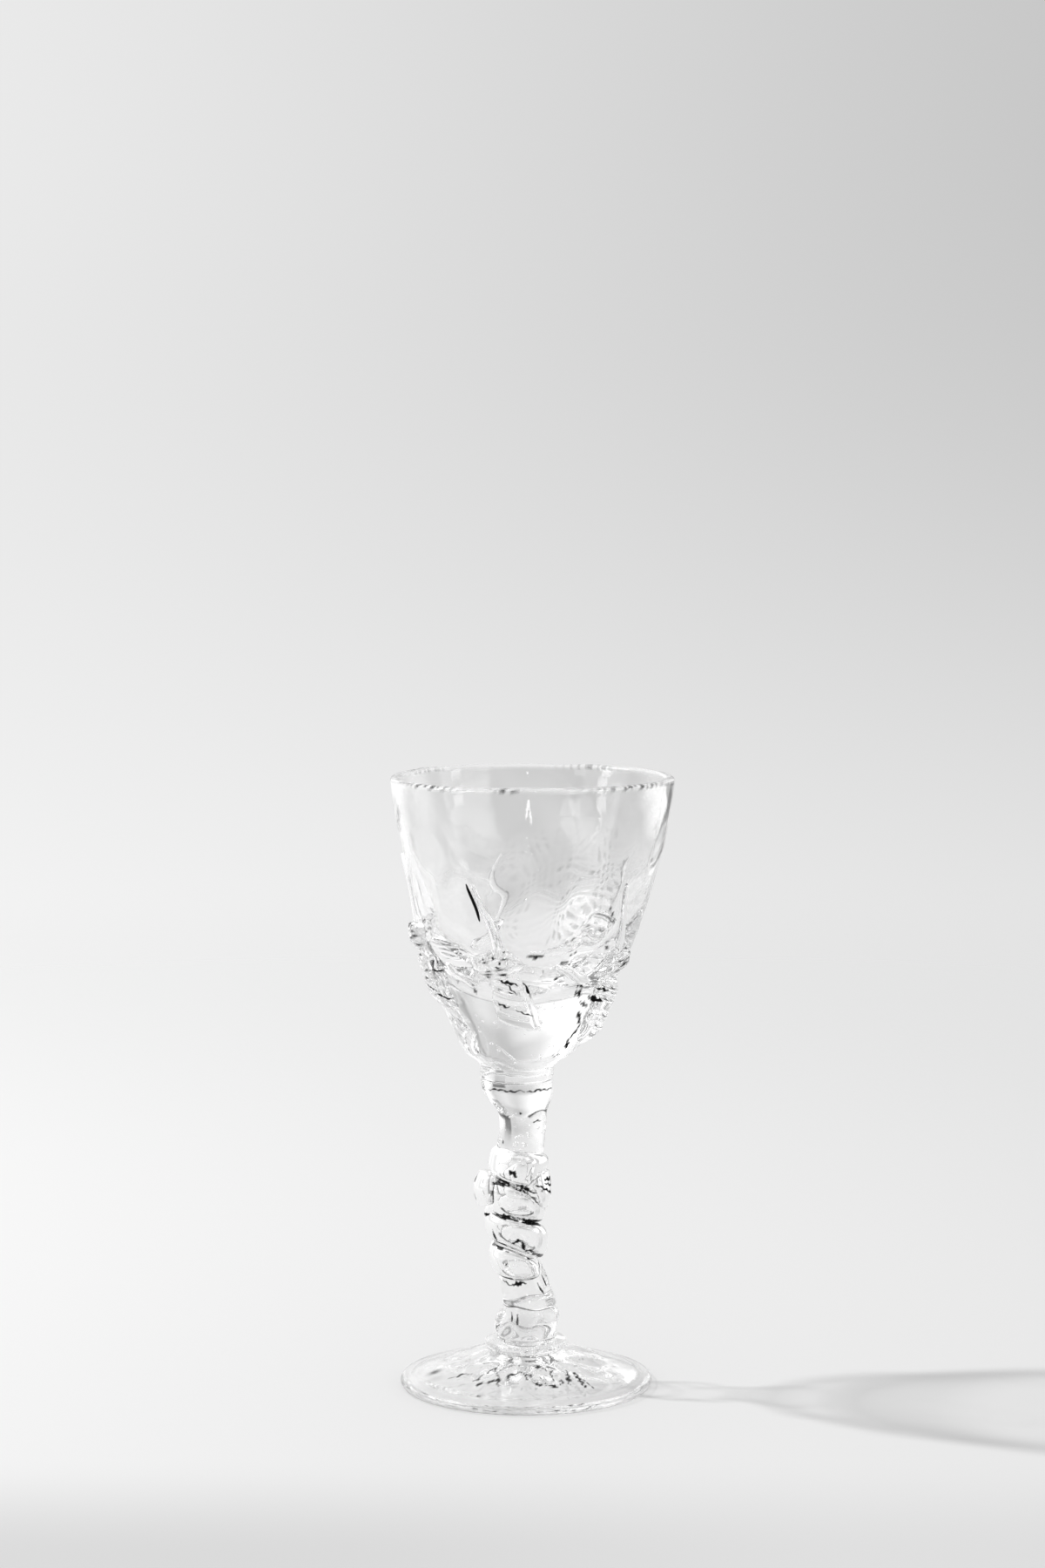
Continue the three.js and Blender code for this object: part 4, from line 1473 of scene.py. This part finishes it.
def make_glass():
    """The whole glass, from the foot up, and what is laid on it."""
    polished, pressed, laid, creased = (glass(name) for name in FINISHES)
    pads = ornament()
    wound = [vine(), *[knuckle(side, degrees) for side, degrees in KNUCKLES.items()]]
    stem_painted_shade = painted_crease_shade(STEM_CREASES, stem_plain)
    bowl_painted_shade = painted_crease_shade(BOWL_CREASES, bowl_plain)
    make_foot(pressed)
    make_stem(creased, wound, stem_painted_shade)
    make_bowl(polished, pads, bowl_painted_shade)
    make_ornament(laid, pads, bowl_painted_shade)
    make_cord(laid)
    finish_piece(seeds(), bubble_glass())
    make_vine(creased, wound, stem_painted_shade)


# The stage
# Lamps: place, what each lights, its two widths in metres, and watts
LAMPS = {
    "key": ((-0.97, 0.19, 1.2), (0, 0, 0.08), (0.05, 0.08), 12),
    "strip": ((0.06, -1.28, 0.518), (0, 0, 0.14), (0.045, 0.08), 0.6),
}


def lamp(name, place, aim, size, watts):
    """A small soft lamp at a place, turned towards what it lights."""
    light = bpy.data.lights.new(name, "AREA")
    light.shape = "RECTANGLE"
    light.size, light.size_y = size
    light.energy = watts
    holder = bpy.data.objects.new(name, light)
    holder.location = place
    holder.rotation_euler = (Vector(aim) - Vector(place)).to_track_quat("-Z", "Y").to_euler()
    bpy.context.collection.objects.link(holder)


def make_camera():
    """The camera, turned up from straight down by a quarter turn less its dip."""
    data = bpy.data.cameras.new("camera")
    data.sensor_width = FRAME_WIDTH
    data.lens = LENS
    camera = bpy.data.objects.new("camera", data)
    camera.location = CAMERA_PLACE
    camera.rotation_euler = (math.radians(90 - CAMERA_DIP), 0, 0)
    bpy.context.collection.objects.link(camera)
    bpy.context.scene.camera = camera


# What glass sees round it: degrees to the right of straight behind, and how many times the
# plain room's brightness
ROOM = [
    (-180, 0.22), (-114, 0.22), (-100, 0.97), (-82, 0.97), (-68, 1.2), (-57, 1.05), (-40, 1.35),
    (-20, 1.12), (-10, 0.88), (10, 0.84), (20, 1.1), (33, 1.2), (45, 2.3), (68, 3.2), (80, 1.2),
    (98, 1.2), (112, 0.22), (180, 0.22),
]

# Brighter and darker places in that room. Each has its stretch round the room, as shares of a
# turn where 0.5 is straight behind and more is to the right, its stretch of height, as sines,
# each with the width of its soft edge, and how much light it adds or what share it takes
BRIGHT_PLACES = {
    "left_window": ((0.18, 0.203, 0.006), (0.06, 0.15, 0.04), 6.0),
    "right_window": ((0.797, 0.82, 0.006), (0.06, 0.15, 0.04), 6.0),
    "left_pane": ((0.095, 0.117, 0.008), (0.15, 0.24, 0.04), 2.4),
    "left_haze": ((0.125, 0.235, 0.02), (0.1, 0.42, 0.06), 1.4),
    "right_haze": ((0.77, 0.885, 0.02), (0.1, 0.3, 0.06), 3.0),
}
DARK_PLACES = {
    "gap": ((0.553, 0.585, 0.007), (-0.9, -0.05, 0.04), 0.75),
    "shelf": ((0.6, 0.635, 0.012), (0.36, 0.64, 0.05), 0.5),
}

# Unit direction of a round glow near the key lamp, and the plain levels below and overhead
GLOW_SIDE = (-0.627, 0.084, 0.775)
FLOOR_LEVEL = 1.05
CEILING_LEVEL = 0.95


def room_tone(graph, x, z):
    """The plain room: lighter low down and on the left."""
    middle = graph.ramp(z, -0.2, 0.05, 0.87, 0.7)
    tilt = graph.ramp(x, -0.3, 0.3, -1.0, 1.0)
    strength = graph.ramp(z, -0.15, 0.1, 0.1, 0.26)
    return graph.times(middle, graph.minus(1.0, graph.times(tilt, strength)))


def wall_tone(graph, turn):
    """The walls that glass sees, from one stop in ROOM to the next."""
    ramp = graph.add("ShaderNodeValToRGB", {"Fac": turn})
    stops = ramp.color_ramp.elements
    top = max(value for _, value in ROOM)
    for degrees, _ in ROOM[1:-1]:
        stops.new(degrees / 360 + 0.5)
    for stop, (_, value) in zip(stops, ROOM):
        stop.color = (value / top, value / top, value / top, 1)
    return graph.times(ramp.outputs["Color"], top)


def lift_tone(graph, x, z):
    """A little more light just above level straight ahead and behind, and higher up all round."""
    ahead = graph.ramp(graph.maths("ABSOLUTE", x), 0.3, 0.6, 0.5, 0.0)
    lift = graph.plus(graph.times(graph.band(z, 0.12, 0.34, 0.11), ahead), 1.0)
    return graph.plus(lift, graph.ramp(z, 0.34, 0.45, 0.0, 0.12))


def surroundings(graph, place, turn, z):
    """How many times the plain room's light comes from each side: the walls, less the dark
    places and with the bright ones and the glow, over a plain floor and under a ceiling."""
    kept = 1.0
    for across, up, share in DARK_PLACES.values():
        dark = graph.times(graph.band(turn, *across), graph.band(z, *up))
        kept = graph.minus(kept, graph.times(dark, share))
    around = graph.times(wall_tone(graph, turn), kept)
    for across, up, light in BRIGHT_PLACES.values():
        bright = graph.times(graph.band(turn, *across), graph.band(z, *up))
        around = graph.plus(around, graph.times(bright, light))
    glow = graph.add("ShaderNodeVectorMath", {0: place, 1: GLOW_SIDE}, operation="DOT_PRODUCT")
    around = graph.plus(around, graph.ramp(glow.outputs["Value"], 0.9, 0.985, 0.0, 4.5))
    around = graph.towards(around, FLOOR_LEVEL, graph.ramp(z, -0.4, -0.15, 1.0, 0.0))
    return graph.towards(around, CEILING_LEVEL, graph.ramp(z, 0.7, 0.92, 0.0, 1.0))


def make_world():
    """A pale room. The camera sees it plain, glass sees it with bright sides, windows, and
    darkness behind the camera, and everything else is lit by an even grey."""
    world = bpy.data.worlds.new("room")
    bpy.context.scene.world = world
    world.use_nodes = True
    graph = Graph(world.node_tree)
    place = graph.add("ShaderNodeTexCoord").outputs["Generated"]
    x, y, z = graph.add("ShaderNodeSeparateXYZ", {0: place}).outputs
    turn = graph.plus(graph.times(graph.maths("ARCTAN2", x, y), 1 / math.tau), 0.5)
    room = room_tone(graph, x, z)
    bent = graph.times(room, surroundings(graph, place, turn, z))
    bent = graph.times(bent, lift_tone(graph, x, z))
    plain, seen, mirrored = (
        graph.add("ShaderNodeBackground", {"Color": colour}).outputs[0]
        for colour in ((0.5, 0.5, 0.5, 1), room, bent)
    )
    whole = graph.mix(graph.any_ray("Is Glossy Ray", "Is Transmission Ray"), plain, mirrored)
    whole = graph.mix(graph.any_ray("Is Camera Ray"), whole, seen)
    graph.add("ShaderNodeOutputWorld", {"Surface": whole})


# Table: half its width in metres, and its level, a hair below the foot
TABLE_HALF = 2.0
TABLE_LEVEL = -0.05 * MM


def table_paint_and_shade(graph, place):
    """Pale paint with painted light and shade: darker in front and far to the left, and a little
    lighter to the right of the glass than to its left.
    """
    x, y, _ = graph.add("ShaderNodeSeparateXYZ", {0: place}).outputs
    # Painted light and shade: a little lighter to the right of the glass, darker in front and darker
    # far to the left
    shade = graph.ramp(x, -0.05, 0.08, 0.95, 0.975)
    front = graph.ramp(y, -0.145, -0.068, graph.ramp(x, -0.1, 0.1, 0.81, 0.9), 1.0)
    left = graph.ramp(x, -0.6, -0.25, 0.84, 1.0)
    colour = graph.times(graph.times(shade, front), left)
    return graph.add("ShaderNodeBsdfDiffuse", {"Color": colour}).outputs[0]


def make_floor():
    """A pale table that fades into the room with distance."""
    mesh = bpy.data.meshes.new("table")
    corners = [(x * TABLE_HALF, y * TABLE_HALF, TABLE_LEVEL)
               for x, y in ((-1, -1), (1, -1), (1, 1), (-1, 1))]
    mesh.from_pydata(corners, [], [(0, 1, 2, 3)])
    floor = bpy.data.objects.new("table", mesh)
    bpy.context.collection.objects.link(floor)
    material, graph = new_material("pale_table")
    place = graph.add("ShaderNodeTexCoord").outputs["Object"]
    length = graph.add("ShaderNodeVectorMath", {0: place}, operation="LENGTH").outputs["Value"]
    gone = graph.ramp(length, 0.15, 1.1, 0.0, 1.0)
    whole = graph.mix(gone, table_paint_and_shade(graph, place), graph.clear())
    graph.add("ShaderNodeOutputMaterial", {"Surface": whole})
    mesh.materials.append(material)


def set_light_paths():
    """Enough bounces for light to pass every skin of the glass, and a plain view of it."""
    scene = bpy.context.scene
    scene.view_settings.view_transform = "Standard"
    scene.cycles.max_bounces = 80
    scene.cycles.transmission_bounces = 80
    scene.cycles.glossy_bounces = 80
    scene.cycles.transparent_max_bounces = 64
    scene.cycles.caustics_reflective = False
    scene.cycles.caustics_refractive = False


set_light_paths()
make_camera()
make_world()
make_floor()
for lamp_name, settings in LAMPS.items():
    lamp(lamp_name, *settings)
make_glass()
